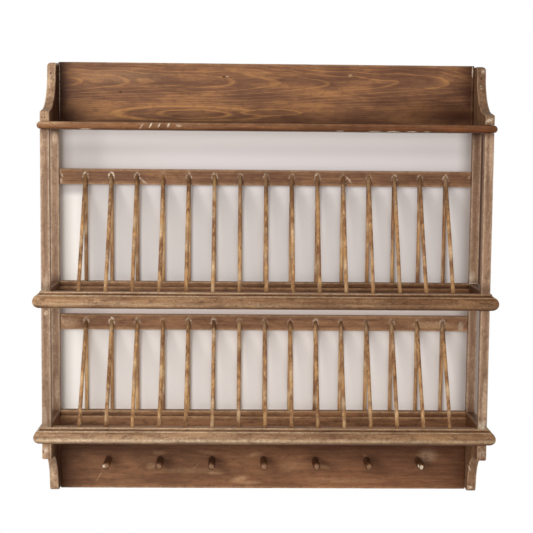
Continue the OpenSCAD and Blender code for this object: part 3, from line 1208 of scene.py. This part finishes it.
def carry(section: tuple[Array, Array, Array], path: Callable[[Array, Array], Array], rows: int,
          seed: int) -> Surface:
    """Carries a section along a path that mitres it.

    Args:
        section: The section's points, N by 2, with the wear and the painted shade of each.
        path: Gives places for a share of the path (rows by 1) and the section (rows by N by 2).
        rows: Number of rows.
        seed: Chooses its unevenness.

    Returns:
        The closed skin.
    """
    points, wear, grime = section
    share = np.linspace(0, 1, rows)
    _, normal = round_trip(points)
    dip = 0.18 * MM * (1 + ripple(share, seed, (0.31, 0.12, 0.045)))
    inside = points[None] - normal[None] * dip[:, None, None]
    inside[..., 0] = np.clip(inside[..., 0], 0, None)
    rub = np.clip(0.7 + 0.5 * ripple(share, seed + 2, (0.21, 0.08, 0.031, 0.013)), 0.1, 1)
    return Surface(path(share[:, None], inside), rub[:, None] * wear, grime=grime)


@dataclass
class Tray:
    """One tray: rails, ends, ledge and mouldings.

    Attributes:
        bench: Where pieces are made.
        tier: Which tray it is.
        mould: The section of its mouldings.
        tenon: Length of the rails' and ends' tenons.
    """

    bench: Bench
    tier: Tier
    mould: Mould = field(default_factory=Mould)
    tenon: float = 10 * MM

    def build(self) -> None:
        """Makes the tray's pieces, each from its CAD box."""
        lower = self.tier is Tier.LOWER
        parts = (("front_rail", Axis.X, 0.7), ("rear_rail", Axis.X, 0.95), ("end_left", Axis.Y, 0.6),
                 ("end_right", Axis.Y, 0.6), ("plate_ledge", Axis.X, 0.7))
        tone = {"ground": rgb(130, 91, 63), "fade": (0.84, 0.76, 0.7)} if lower else {}
        for number, (part, axis, wear) in enumerate(parts):
            node = f"{self.tier.value}_tray_{part}"
            low, high = between_tenons(node, axis, 0.0 if part == "plate_ledge" else self.tenon)
            base = RAIL if part == "front_rail" else TRAY
            finish = replace(base, seed=5.0 + self.shift + number * 7, **tone)
            # The ends are darkened all over with painted shade.
            marks = [Mark(GRIME, tuple((low + high) / 2), (0.1, 0.1, 0.1), 0.4)] if axis is Axis.Y else []
            bar = Bar(low, high, axis, seed=60 + self.shift + number, wear=wear, arris=1.2 * MM, marks=marks)
            self.bench.make(f"timber_{node}", [bar.surface()], finish.material(axis), node)
        self.mouldings()

    @property
    def shift(self) -> int:
        """What is added to every seed, so that the two trays differ."""
        return 50 if self.tier is Tier.LOWER else 0

    def mouldings(self) -> None:
        """Makes the front moulding and its two returns, mitred at the front corners."""
        lower = self.tier is Tier.LOWER
        section = self.mould.section(0.8 if lower else 0.25)
        tone = {"ground": rgb(162, 125, 94), "fade": (0.64, 0.57, 0.5)} if lower else {}
        low, high = cad_box(f"{self.tier.value}_tray_front_moulding")
        bottom, half, face = low[2], high[0] - self.mould.reach, -high[1]

        def along_front(share: Array, place: Array) -> Array:
            """X runs from mitre to mitre; the section stands out of the front."""
            u, h = place[..., 0], place[..., 1]
            return np.stack([(2 * share - 1) * (half + u), -face - u, bottom + h], axis=-1)

        def along_side(sign: float, share: Array, place: Array) -> Array:
            """Y runs from the wall to the mitre; the section stands out of the side."""
            u, h = place[..., 0], place[..., 1]
            return np.stack([sign * (half + u), -share * (face + u), bottom + h], axis=-1)

        runs = [("front_moulding", Axis.X, along_front, 260, 80, 9.0)]
        runs += [(f"side_moulding_{side}", Axis.Y, partial(along_side, sign), 48, 90 + int(sign), 13.0 + sign)
                 for side, sign in SIDES]
        for part, axis, path, rows, seed, grain_seed in runs:
            node = f"{self.tier.value}_tray_{part}"
            skin = carry(section, path, rows, seed + self.shift)
            finish = replace(MOULDING, seed=grain_seed + self.shift, **tone)
            self.bench.make(f"timber_{node}", [skin], finish.material(axis), node, sharp=50.0)


@dataclass
class PlateRail:
    """A rail between the rear posts that the heads of both spindle rows run into.

    Attributes:
        bench: Where pieces are made.
        tier: Which tier it closes.
        tenon: Length of its tenons.
        pitch: Distance between the spindles.
        head_rise: Height at which the front spindles enter it.
        arch: Half width and height of the lime over a spindle's head.
    """

    bench: Bench
    tier: Tier
    tenon: float = 10 * MM
    pitch: float = 52 * MM
    head_rise: float = 14 * MM
    arch: tuple[float, float] = (4.8 * MM, 8.6 * MM)

    @property
    def node(self) -> str:
        """The rail's CAD node."""
        return f"{self.tier.value}_plate_rail"

    def build(self) -> None:
        """Makes the rail between its tenons, in its CAD box."""
        low, high = between_tenons(self.node, Axis.X, self.tenon)
        tones = {Tier.UPPER: {"ground": rgb(127, 90, 67), "fade": (0.84, 0.82, 0.82), "seed": 27.5},
                 Tier.LOWER: {"ground": rgb(140, 100, 74), "fade": (1.0, 1.0, 1.0), "seed": 30.5}}
        finish = replace(BOARD, mottle=0.4, bloom=0.15, **tones[self.tier])
        bar = Bar(low, high, Axis.X, seed=31, side_points=8)
        material = finish.material(Axis.X, PLATE_RAIL_SPOTS[self.tier], self.head_lime)
        self.bench.make(f"timber_{self.node}", [bar.surface()], material, self.node)

    def head_lime(self, paint: Paint) -> Signal:
        """Lime that a brush left in an arch over each spindle's head, more on some than on others.

        Args:
            paint: The rail's material.

        Returns:
            The lime's strength, from 0 to 1.
        """
        x, y, z = paint.point
        across = ((x / self.pitch + 0.5).fraction() - 0.5) * self.pitch
        up = z - float(cad_box(self.node)[0][2]) - self.head_rise
        away = (across / self.arch[0]).hypot(up / self.arch[1])
        ring = away.step(0.6, 0.95) * away.step(1.75, 1.1) * up.step(-5 * MM, 3 * MM)
        load = paint.noise(paint.vector(x * 13, 3.5, 0.0), 1.0).step(0.4, 0.72)
        ragged = paint.noise(paint.vector(x * 190, 0.0, z * 190), 3.0).step(0.36, 0.62)
        return ring * ragged * y.step(-11 * MM, -13 * MM) * (0.2 + load * 0.5 + x.step(-0.2, -0.3) * 0.3)


@dataclass
class SpindleRow:
    """A row of round spindles between a tray rail and a plate rail.

    Attributes:
        bench: Where pieces are made.
        tier: Which tier it stands in.
        row: The splayed front row or the upright rear one.
        diameter: Diameter of a spindle.
        pitch: Distance between spindles.
        bow: How far a spindle bends at its middle.
    """

    bench: Bench
    tier: Tier
    row: Row
    diameter: float = 8 * MM
    pitch: float = 52 * MM
    bow: float = 0.7 * MM

    @property
    def seed(self) -> int:
        """What keeps a front row's unevenness and grain apart from a rear row's."""
        return 20 if self.row is Row.FRONT else 19

    def build(self) -> None:
        """Makes the row as one piece of separate rods, each from the box of its CAD row.

        A rod's axis runs between the box's ends, drawn in by the share of its radius that the
        leaning end face covers. The lean and that share depend on each other, so they are worked
        out in turns until they agree.
        """
        node = f"{self.tier.value}_{self.row.value}_spindles"
        low, high = cad_box(node)
        radius = self.diameter / 2
        rise, run = high[2] - low[2], high[1] - low[1]
        lean = 0.0
        for _ in range(20):
            lean = np.arctan2(run - 2 * radius * np.cos(lean), rise - 2 * radius * np.sin(lean))
        drawn = radius * np.array([np.cos(lean), np.sin(lean)])
        foot, head = low[1:] + drawn, high[1:] - drawn
        count = int(round((high[0] - low[0] - self.diameter) / self.pitch)) + 1
        skins = [self.rod((i - (count - 1) / 2) * self.pitch, foot, head, i) for i in range(count)]
        finish = replace(SPINDLE, seed=21.0 + self.seed)
        self.bench.make(f"rods_{node}", skins, finish.material(Axis.Z), node, sharp=50.0)

    def rod(self, x: float, foot: Array, head: Array, number: int) -> Surface:
        """Sweeps a circle from foot to head.

        The circle's radius wanders by a few hundredths, and its centre bows sideways as half a
        sine wave.

        Args:
            x: The rod's place along the row.
            foot: Lower end in Y and Z.
            head: Upper end in Y and Z.
            number: Its number in the row.

        Returns:
            The closed skin.
        """
        rows, columns = 26, 16
        share = np.linspace(0, 1, rows)
        angle = np.linspace(0, 2 * np.pi, columns, endpoint=False)
        seed = number * 7 + self.seed
        axis = (head - foot) / np.linalg.norm(head - foot)
        side = np.array([axis[1], -axis[0]])
        random = np.random.default_rng(seed)
        bend = self.bow * np.sin(np.pi * share) * random.uniform(-1, 1)
        radius = self.diameter / 2 * (0.985 - 0.015 * (1 + ripple(share, seed, (0.7, 0.23, 0.11))))
        centre = foot[None] + (head - foot)[None] * share[:, None]
        points = np.zeros((rows, columns, 3))
        points[..., 0] = x + bend[:, None] + radius[:, None] * np.cos(angle)
        points[..., 1] = centre[:, :1] + radius[:, None] * np.sin(angle) * side[0]
        points[..., 2] = centre[:, 1:] + radius[:, None] * np.sin(angle) * side[1]
        wear = np.clip(ripple(share * 0.3 + number, seed + 1, (0.2, 0.06)), 0, 1)[:, None] * (
            0.5 + 0.5 * np.cos(angle - random.uniform(2.5, 4.5)))
        # Painted shade: darker at the foot and below the head, further down in the upper tier.
        reach = 0.16 if self.tier is Tier.UPPER else 0.08
        grime = np.maximum(0.8 * np.exp(-share / 0.05), 0.6 * np.exp(-((1 - share) / reach) ** 2))
        return Surface(points, wear * 0.8, grime=grime[:, None])


@dataclass
class Top:
    """The shelf, its raised back and the two brackets on it.

    Attributes:
        bench: Where pieces are made.
        keyholes: Half the distance between the keyholes.
        entry: Radius of a keyhole's entry.
        slot: Half the width and the height of its slot.
        sunk: How deep the keyholes look.
        crown_round: Radius of the rounding on the outside of the brackets' tops.
    """

    bench: Bench
    keyholes: float = 300 * MM
    entry: float = 6.5 * MM
    slot: tuple[float, float] = (2.4 * MM, 14 * MM)
    sunk: float = 9 * MM
    crown_round: float = 7.5 * MM

    def build(self) -> None:
        """Makes the top's pieces."""
        self.back_board()
        self.shelf()
        self.brackets()

    def brackets(self) -> None:
        """Makes the brackets that stand on the shelf, their crowns rounded to the outside."""
        for side, sign in SIDES:
            node = f"top_bracket_{side}"
            low, high = cad_box(node)
            outline = TOP_BRACKET.outline(high[2] - low[2], -low[1])
            outline[:, 1] += low[2]
            skin = Board(resample(outline, BRACKET_SPACING), low[0], high[0], seed=7).surface()
            x, _, z = np.moveaxis(skin.points, -1, 0)
            outer = max(-low[0], high[0])
            skin.points[..., 2] = np.minimum(z, high[2] - fall_off(x * sign, outer, self.crown_round))
            finish = replace(BRACKET, seed=17.0 + sign, fade=(0.54, 0.48, 0.43))
            self.bench.make(f"timber_{node}", [skin], finish.material(Axis.Z, BRACKET_SPOTS[node]), node)

    def back_board(self) -> None:
        """Makes the raised back with its arched grain and the keyholes in its rear face."""
        low, high = cad_box("top_back_board")
        eyes = (Eye((-0.152, -0.0405), (0.148, 0.0145)), Eye((-0.145, -0.0415), (0.070, 0.0085)),
                Eye((0.010, -0.0365), (0.058, 0.006)))
        figure = Figure(pitch=3.1 * MM, depth=72 * MM, slope=0.03, across=26 * MM, eyes=eyes)
        finish = replace(BOARD, seed=2.0, figure=figure, line_amount=0.7, ground=rgb(134, 92, 64),
                         line=rgb(188, 134, 80), stain=rgb(88, 56, 41), fade=(0.92, 0.9, 0.9), tone=0.7,
                         streak=0.3, mottle=0.3, bloom=0.1)
        half, face, foot = high[0], low[1], low[2]
        # Painted shade: darker at both ends and along the foot, with the left bracket's shadow on the left
        # end and a shadow wedge in the right corner; the thin dark line along the foot is partly grime.
        marks = [Mark(GRIME, (-half, face, 0.0), (0.027, 0.01, EVERYWHERE)),
                 Mark(GRIME, (-half, face, foot), (0.070, 0.01, 0.056)),
                 Mark(GRIME, (half, face, 0.0), (0.034, 0.01, EVERYWHERE), 0.8),
                 Mark(GRIME, (half - 0.03, face, foot + 0.020), (0.160, 0.01, 0.034), 0.95),
                 Mark(GRIME, (0.3, face, foot), (0.7, 0.01, 0.030), 0.6),
                 Mark(GRIME, (0.0, face, foot), (EVERYWHERE, 0.01, 0.008), 0.75)]
        near = np.arange(-9, 9.1, 0.9) * MM
        rows = np.concatenate([near - self.keyholes, near + self.keyholes]) - low[0]
        bar = Bar(low, high, Axis.X, seed=4, side_points=60, uneven=0.4 * MM, wear=0.45, marks=marks,
                  extra_rows=rows)
        skin = bar.surface()
        x, y, z = np.moveaxis(skin.points, -1, 0)
        aside = np.abs(np.abs(x) - self.keyholes)
        inside = np.hypot(aside, z) < self.entry
        inside |= np.hypot(aside, z - np.clip(z, 0, self.slot[1])) < self.slot[0]
        skin.points[..., 1] = np.where(inside & (y > -2 * MM), -self.sunk, y)
        material = finish.material(Axis.X, BACK_SPOTS)
        self.bench.make("timber_top_back_board", [skin], material, "top_back_board")

    def shelf(self) -> None:
        """Makes the shelf.

        Each row is a section across the shelf: a flat top and underside and a half round nose.
        At column i it lies at Y = back[i] - thick * out[i], and thick * rise[i] over the shelf's
        middle. Towards both ends the half thickness shrinks as the root of 1 less the square of the
        distance into the nose, which turns the ends into half rounds too.
        """
        low, high = cad_box("top_shelf")
        radius, middle = (high[2] - low[2]) / 2, (high[2] + low[2]) / 2
        straight, front = high[0] - radius, -low[1] - radius
        end = straight + radius * np.sin(np.radians(np.linspace(0, 90, 9)))
        flat = np.linspace(-straight, straight, 210)
        x = np.concatenate([-end[::-1], flat[1:-1], end])
        into = (np.abs(x) - straight) / radius
        size = radius * np.sqrt(1 - np.clip(into, 0, 0.9999) ** 2)[:, None]
        dip = 0.2 * MM * (1 + ripple(x, 3, (0.5, 0.16, 0.06)))[:, None]
        thick = size - dip * (size / radius)

        nose = np.radians(np.linspace(-90, 90, 13))
        level = -0.5 * (1 - np.cos(np.pi * np.linspace(0, 1, 20)[:-1])) * front
        back = np.concatenate([level, np.full(len(nose), -front), level[::-1]])
        out = np.pad(np.cos(nose), len(level))
        rise = np.pad(np.sin(nose), len(level), constant_values=(-1, 1))
        points = np.zeros((len(x), len(back), 3))
        points[..., 0] = x[:, None]
        points[..., 1] = back - thick * out
        points[..., 2] = middle + thick * rise

        angle = np.degrees(nose)
        bright = np.pad(0.1 + 0.45 * np.exp(-((angle - 50) / 26) ** 2), len(level))
        upper = np.pad(np.clip(angle / 30, 0, 1), len(level))
        # Painted shade under the nose.
        shade = np.pad(0.5 * np.exp(-((angle + 60) / 25) ** 2), len(level))
        rub = np.clip(0.65 + 0.5 * ripple(x, 8, (0.23, 0.09, 0.03)), 0, 1)[:, None]
        # Painted highlight on the top of the nose at the left end.
        left_end_highlight = np.exp(-((x + 0.43) / 0.05) ** 2)[:, None]
        ends = 0.5 * np.clip(into, 0, 1)[:, None]
        wear = np.maximum(np.maximum(rub * bright, ends), left_end_highlight * upper)
        finish = replace(BOARD, seed=21.0, ground=rgb(116, 74, 44), line=rgb(150, 99, 58),
                         worn=rgb(186, 150, 116), fade=(0.66, 0.52, 0.42), mottle=0.4, bloom=0.15)
        self.bench.make("timber_top_shelf", [Surface(points, wear, grime=shade)],
                        finish.material(Axis.X, SHELF_SPOTS), "top_shelf", sharp=60.0)


@dataclass(frozen=True)
class BracketShape:
    """A scrolled bracket's outline, standing on its long edge, worked out as the CAD solid's is.

    Attributes:
        toe: Height of the toe at its front edge.
        start: Height at which the hollow begins.
        end: Height at which the hollow ends.
        sag: Rise of the hollow over its chord.
        toe_length: Length of the nearly level stretch behind the front edge.
        toe_round: Radius of the toe's front corner.
        neck: Depth of the bracket where the hollow ends.
        lobe_set: How much shallower the lobe is than the neck.
        lobe_round: Radius of the lobe's corner.
    """

    toe: float
    start: float
    end: float
    sag: float
    toe_length: float = 38 * MM
    toe_round: float = 3 * MM
    neck: float = 49.5 * MM
    lobe_set: float = 1.5 * MM
    lobe_round: float = 11 * MM

    def outline(self, height: float, depth: float) -> Array:
        """Toe, hollow and lobe. The hollow is the arc through its ends with the given rise.

        Args:
            height: Height of the bracket.
            depth: Depth along its long edge.

        Returns:
            Points in Y and Z, counterclockwise seen from +X.
        """
        start = np.array([self.toe_length - depth, self.start])
        stop = np.array([-self.neck, self.end])
        chord = float(np.linalg.norm(stop - start))
        radius = (chord ** 2 / 4 + self.sag ** 2) / (2 * self.sag)
        left = np.array([start[1] - stop[1], stop[0] - start[0]]) / chord
        centre = (start + stop) / 2 + left * (radius - self.sag)
        middle = float(np.degrees(np.arctan2(-left[1], -left[0])))
        spread = float(np.degrees(np.arcsin(chord / (2 * radius))))
        slope = float(np.degrees(np.arctan2(self.start - self.toe, self.toe_length)))
        lobe = (self.lobe_set - self.neck + self.lobe_round, height - self.lobe_round)
        return np.vstack([
            [[0, 0], [-depth, 0]],
            arc((self.toe_round - depth, self.toe - self.toe_round), (self.toe_round,) * 2, 180,
                90 + slope, 6),
            arc(centre, (radius,) * 2, middle - spread, middle + spread, 24),
            arc(lobe, (self.lobe_round,) * 2, 180, 90, 12),
            [[0, height]],
        ])[::-1].copy()


TOP_BRACKET = BracketShape(19.5 * MM, 24.5 * MM, 86 * MM, 12.2 * MM)
BOTTOM_BRACKET = BracketShape(31.5 * MM, 35.5 * MM, 97 * MM, 15 * MM)


@dataclass
class Foot:
    """The peg board, its brackets and the pegs.

    Attributes:
        bench: Where pieces are made.
        pegs: Number of pegs.
        diameter: Diameter of a peg.
        length: Length of a peg outside the board.
        dome: Height of the dome on its end.
        root: How far a peg reaches into the board.
        soft: Radius of the edge between a peg's side and its dome.
        toe_round: Radius of the rounding on the outside of the brackets' toes.
    """

    bench: Bench
    pegs: int = 7
    diameter: float = 15 * MM
    length: float = 62 * MM
    dome: float = 2 * MM
    root: float = 3 * MM
    soft: float = 0.9 * MM
    toe_round: float = 4.5 * MM

    def build(self) -> None:
        """Makes the foot's pieces."""
        self.peg_board()
        self.brackets()
        for number in range(1, self.pegs + 1):
            self.peg(number)

    def peg_board(self) -> None:
        """Makes the peg board, with painted shade along its top under the moulding, darkening at its ends and
        a painted shadow beside every peg.
        """
        low, high = cad_box("peg_board")
        figure = Figure(pitch=7 * MM, depth=90 * MM, slope=0.02, across=low[2] + 40 * MM)
        finish = replace(BOARD, seed=41.0, figure=figure, ground=rgb(120, 82, 57), line=rgb(148, 104, 72),
                         stain=rgb(82, 54, 38), line_amount=0.3, fade=(1.0, 0.9, 0.84), streak=0.35,
                         mottle=0.35, bloom=0.1)
        half, face = high[0], low[1]
        marks = [Mark(GRIME, (0.0, face, high[2] - 0.030), (EVERYWHERE, 0.01, 0.020), 0.65),
                 Mark(GRIME, (-half, face, 0.0), (0.045, 0.01, EVERYWHERE), 0.7),
                 Mark(GRIME, (half, face, 0.0), (0.040, 0.01, EVERYWHERE), 0.4)]
        for number in range(1, self.pegs + 1):
            x, _, z = sum(cad_box(f"peg_{number}")) / 2
            # Painted shadow to the right of each peg.
            marks.append(Mark(GRIME, (x + 15 * MM, face, z - 1 * MM), (0.015, 0.01, 0.010), 0.5))
        bar = Bar(low, high, Axis.X, seed=44, side_points=20, uneven=0.4 * MM, marks=marks)
        self.bench.make("timber_peg_board", [bar.surface()], finish.material(Axis.X, PEG_BOARD_SPOTS),
                        "peg_board")

    def brackets(self) -> None:
        """Makes the brackets that hang under the posts, their toes rounded to the outside."""
        shape = BOTTOM_BRACKET
        for side, sign in SIDES:
            node = f"bottom_bracket_{side}"
            low, high = cad_box(node)
            outline = shape.outline(high[2] - low[2], -low[1])
            outline[:, 1] = high[2] - outline[:, 1]
            skin = Board(resample(outline[::-1], BRACKET_SPACING), low[0], high[0], seed=9).surface()
            x, y, z = np.moveaxis(skin.points, -1, 0)
            behind = np.clip((y - low[1]) / shape.toe_length, 0, 1)
            floor = high[2] - shape.toe - behind * (shape.start - shape.toe)
            outer = max(-low[0], high[0])
            floor += fall_off(x * sign, outer, self.toe_round) * (1 - behind)
            skin.points[..., 2] = np.where(behind < 1, np.maximum(z, floor), z)
            finish = replace(BRACKET, seed=23.0 + sign, fade=(0.7, 0.62, 0.57))
            self.bench.make(f"timber_{node}", [skin], finish.material(Axis.Z, BRACKET_SPOTS[node]), node)

    def peg(self, number: int) -> None:
        """Makes a peg: a circle carried forward, closing over the dome as a cap of a sphere.

        Args:
            number: Its number, from the left.
        """
        node = f"peg_{number}"
        low, high = cad_box(node)
        centre = (low + high) / 2
        radius = self.diameter / 2
        ball = (radius ** 2 + self.dome ** 2) / (2 * self.dome)
        straight = self.length - self.dome
        cap = np.linspace(0.97, 0.02, 7) * (radius - self.soft)
        bend = np.radians(np.linspace(0, 70, 4))[1:]
        side = np.linspace(-self.root, straight - self.soft, 14)
        reach = np.concatenate([side, straight - self.soft + self.soft * np.sin(bend),
                                straight + np.sqrt(ball ** 2 - cap ** 2) - (ball - self.dome)])
        girth = np.concatenate([np.full(len(side), radius),
                                radius - self.soft + self.soft * np.cos(bend), cap])
        reach = np.minimum(np.maximum.accumulate(reach), self.length)
        girth = girth * (1 - 0.012 * (1 + ripple(reach, number + 70, (0.07, 0.02))))
        angle = np.linspace(0, 2 * np.pi, 24, endpoint=False)
        points = np.zeros((len(reach), len(angle), 3))
        points[..., 0] = centre[0] + girth[:, None] * np.cos(angle)
        points[..., 1] = (low[1] + self.length - reach)[:, None]
        points[..., 2] = centre[2] + girth[:, None] * np.sin(angle)
        share = np.clip(reach / self.length, 0, 1)[:, None]
        wear = np.where(share > 0.985, 0.75, 0.0)
        # Painted shade along the shaft, none on the worn end.
        grime = np.where(wear > 0, 0.0, 0.55 * np.exp(-((share - 0.55) / 0.5) ** 2))
        skin = Surface(points, wear, 0.6 * np.exp(-share / 0.02), grime)
        finish = replace(SPINDLE, seed=50.0 + number, name="peg", ground=rgb(104, 70, 46),
                         line=rgb(132, 94, 64), stain=rgb(64, 40, 26), worn=rgb(146, 112, 84))
        material = finish.material(Axis.Y, PEG_SPOTS.get(number, ()))
        self.bench.make(f"turned_{node}", [skin], material, node, sharp=50.0)


# ---------------------------------------------------------------- surroundings


@dataclass(frozen=True)
class Lamp:
    """A soft, square lamp.

    Attributes:
        name: Its name.
        place: Where it stands.
        size: Its width.
        power: Its power in watts.
    """

    name: str
    place: Place
    size: float
    power: float


@dataclass
class Studio:
    """The wall, the lamps and the camera.

    Attributes:
        wall_half: Half the wall's width and height.
        gap: Distance between the rack's rear and the wall.
        shaded_half: Half width of the stretch of wall that is seen between the posts.
        shaded: Lowest and highest Z of that stretch.
        lamps: The lamps.
        target: Where the lamps point, near the rack's middle.
        ambient: Strength of the light from all round.
        eye: Where the camera stands.
        aim: The camera's turn to the right, its tilt up and its roll, in degrees.
        lens: Its focal length in millimetres.
        sensor: Its sensor's width in millimetres.
    """

    wall_half: float = 4.0
    gap: float = 0.6 * MM
    shaded_half: float = 0.450
    shaded: tuple[float, float] = (-0.70, -0.065)
    lamps: tuple[Lamp, ...] = (Lamp("key", (-1.2, -2.4, 0.1), 1.3, 44.0),
                               Lamp("fill", (1.2, -2.8, 0.1), 2.4, 16.0))
    target: Place = (0.0, 0.0, -0.37)
    ambient: float = 0.62
    eye: Place = (-0.0558, -2.6474, -0.0939)
    aim: tuple[float, float, float] = (1.269034, -5.49058, 0.522737)
    lens: float = 87.8
    sensor: float = 36.0

    def build(self) -> None:
        """Sets up everything that isn't the rack."""
        self.wall()
        self.world()
        for lamp in self.lamps:
            self.light(lamp)
        self.camera()
        bpy.context.scene.view_settings.view_transform = "Standard"

    def wall(self) -> None:
        """A painted wall close behind the rack, which only the camera sees."""
        mesh = bpy.data.meshes.new("studio_wall")
        corners = ((-1, -1), (1, -1), (1, 1), (-1, 1))
        mesh.from_pydata([(x * self.wall_half, self.gap, z * self.wall_half) for x, z in corners],
                         [], [(0, 1, 2, 3)])
        mesh.materials.append(self.wall_paint())
        wall = bpy.data.objects.new("studio_wall", mesh)
        wall.visible_shadow = wall.visible_diffuse = wall.visible_glossy = False
        bpy.context.scene.collection.objects.link(wall)

    def wall_paint(self) -> bpy.types.Material:
        """Paint that is pure white to the camera round the rack, and clear from behind.

        Returns:
            The wall's material.
        """
        paint = Paint(bpy.data.materials.new("wall_paint"))
        x, _, z = paint.point
        bottom, top = self.shaded
        soft = 2 * MM
        inside = abs(x).step(self.shaded_half + soft, self.shaded_half - soft)
        inside = inside * z.step(bottom - soft, bottom + soft) * z.step(top + soft, top - soft)
        ray = paint.node("ShaderNodeLightPath", {}, {})
        seen = Signal(paint, ray.outputs["Is Camera Ray"])
        glow = paint.node("ShaderNodeEmission", {}, {"Color": WHITE, "Strength": 1.0})
        matt = paint.node("ShaderNodeBsdfDiffuse", {}, {"Color": self.wall_tone(paint)})
        front = paint.node("ShaderNodeMixShader", {}, {0: seen * (1.0 - inside), 1: matt.outputs[0],
                                                       2: glow.outputs[0]})
        clear = paint.node("ShaderNodeBsdfTransparent", {}, {})
        side = paint.node("ShaderNodeNewGeometry", {}, {})
        both = paint.node("ShaderNodeMixShader", {}, {0: side.outputs["Backfacing"], 1: front.outputs[0],
                                                      2: clear.outputs[0]})
        paint.node("ShaderNodeOutputMaterial", {}, {"Surface": both.outputs[0]})
        return paint.owner

    def wall_tone(self, paint: Paint) -> bpy.types.NodeSocket:
        """The colour of the shaded wall.

        Args:
            paint: The wall's paint.

        Returns:
            The wall's grey, tinted in turn where more or less light reaches it.
        """
        x, _, z = paint.point
        upper_tier, upper_lip = z.step(-0.21, -0.19), z.step(-0.115, -0.085)
        left_end, far_left = x.step(-0.33, -0.39), x.step(-0.15, -0.40)
        lower_tier = z.step(-0.43, -0.47)
        slit = z.step(-0.462, -0.452) * z.step(-0.40, -0.41)
        beside_posts = abs(x).step(0.385, 0.418) * 0.6
        outside_right = x.step(0.428, 0.436) * z.step(-0.42, -0.40)
        tints = ((lower_tier, rgb(226, 218, 212)), (left_end, rgb(254, 249, 242)),
                 (upper_tier, rgb(218, 211, 209)), (upper_tier * far_left, rgb(206, 198, 194)),
                 (upper_lip, rgb(246, 239, 235)), (slit, rgb(238, 226, 220)),
                 (beside_posts, rgb(150, 138, 130)), (outside_right, rgb(110, 84, 70)))
        tone = rgb(212, 205, 201)
        for amount, tint in tints:
            tone = paint.blend(amount, tone, tint)
        return tone

    def world(self) -> None:
        """Even white light from all round, and pure white where the camera sees it."""
        world = bpy.data.worlds.new("studio_world")
        bpy.context.scene.world = world
        sky = Paint(world)
        ray = sky.node("ShaderNodeLightPath", {}, {})
        soft = sky.node("ShaderNodeBackground", {}, {"Color": WHITE, "Strength": self.ambient})
        white = sky.node("ShaderNodeBackground", {}, {"Color": WHITE})
        mix = sky.node("ShaderNodeMixShader", {}, {0: ray.outputs["Is Camera Ray"], 1: soft.outputs[0],
                                                   2: white.outputs[0]})
        sky.node("ShaderNodeOutputWorld", {}, {"Surface": mix.outputs[0]})

    def light(self, lamp: Lamp) -> None:
        """Adds a lamp that points at the target.

        Args:
            lamp: The lamp.
        """
        data = bpy.data.lights.new(lamp.name, "AREA")
        data.size = lamp.size
        data.energy = lamp.power
        light = bpy.data.objects.new(lamp.name, data)
        light.matrix_world = facing(lamp.place, np.array(self.target) - np.array(lamp.place))
        bpy.context.scene.collection.objects.link(light)

    def camera(self) -> None:
        """The photograph's camera: a long lens a little left of the middle and above it."""
        data = bpy.data.cameras.new("camera")
        data.sensor_width = self.sensor
        data.lens = self.lens
        camera = bpy.data.objects.new("camera", data)
        turn, tilt, roll = np.radians(self.aim)
        forward = np.array([np.sin(turn) * np.cos(tilt), np.cos(turn) * np.cos(tilt), np.sin(tilt)])
        camera.matrix_world = facing(self.eye, forward, roll)
        bpy.context.scene.collection.objects.link(camera)
        bpy.context.scene.camera = camera


def facing(place: Place, forward: Array, roll: float = 0.0) -> Matrix:
    """The matrix of a lamp or camera.

    Args:
        place: Where it stands.
        forward: The direction that it points in.
        roll: How far its right side is lifted, in radians.

    Returns:
        The matrix, with -Z pointing forward.
    """
    forward = forward / np.linalg.norm(forward)
    level = np.cross(forward, (0, 0, 1))
    level /= np.linalg.norm(level)
    right = level * np.cos(roll) + np.cross(level, forward) * np.sin(roll)
    rows = np.eye(4)
    rows[:3] = np.stack([right, np.cross(right, forward), -forward, place], axis=1)
    return Matrix(rows.tolist())


def main() -> None:
    """Builds the dressed rack and its surroundings."""
    logging.basicConfig(level=logging.INFO, format="%(message)s")
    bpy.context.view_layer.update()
    bench = Bench(FRAME["record"])
    Studio().build()
    Posts(bench).build()
    Top(bench).build()
    for tier in Tier:
        PlateRail(bench, tier).build()
        Tray(bench, tier).build()
        for row in Row:
            SpindleRow(bench, tier, row).build()
    Foot(bench).build()


if __name__ == "__main__":
    main()
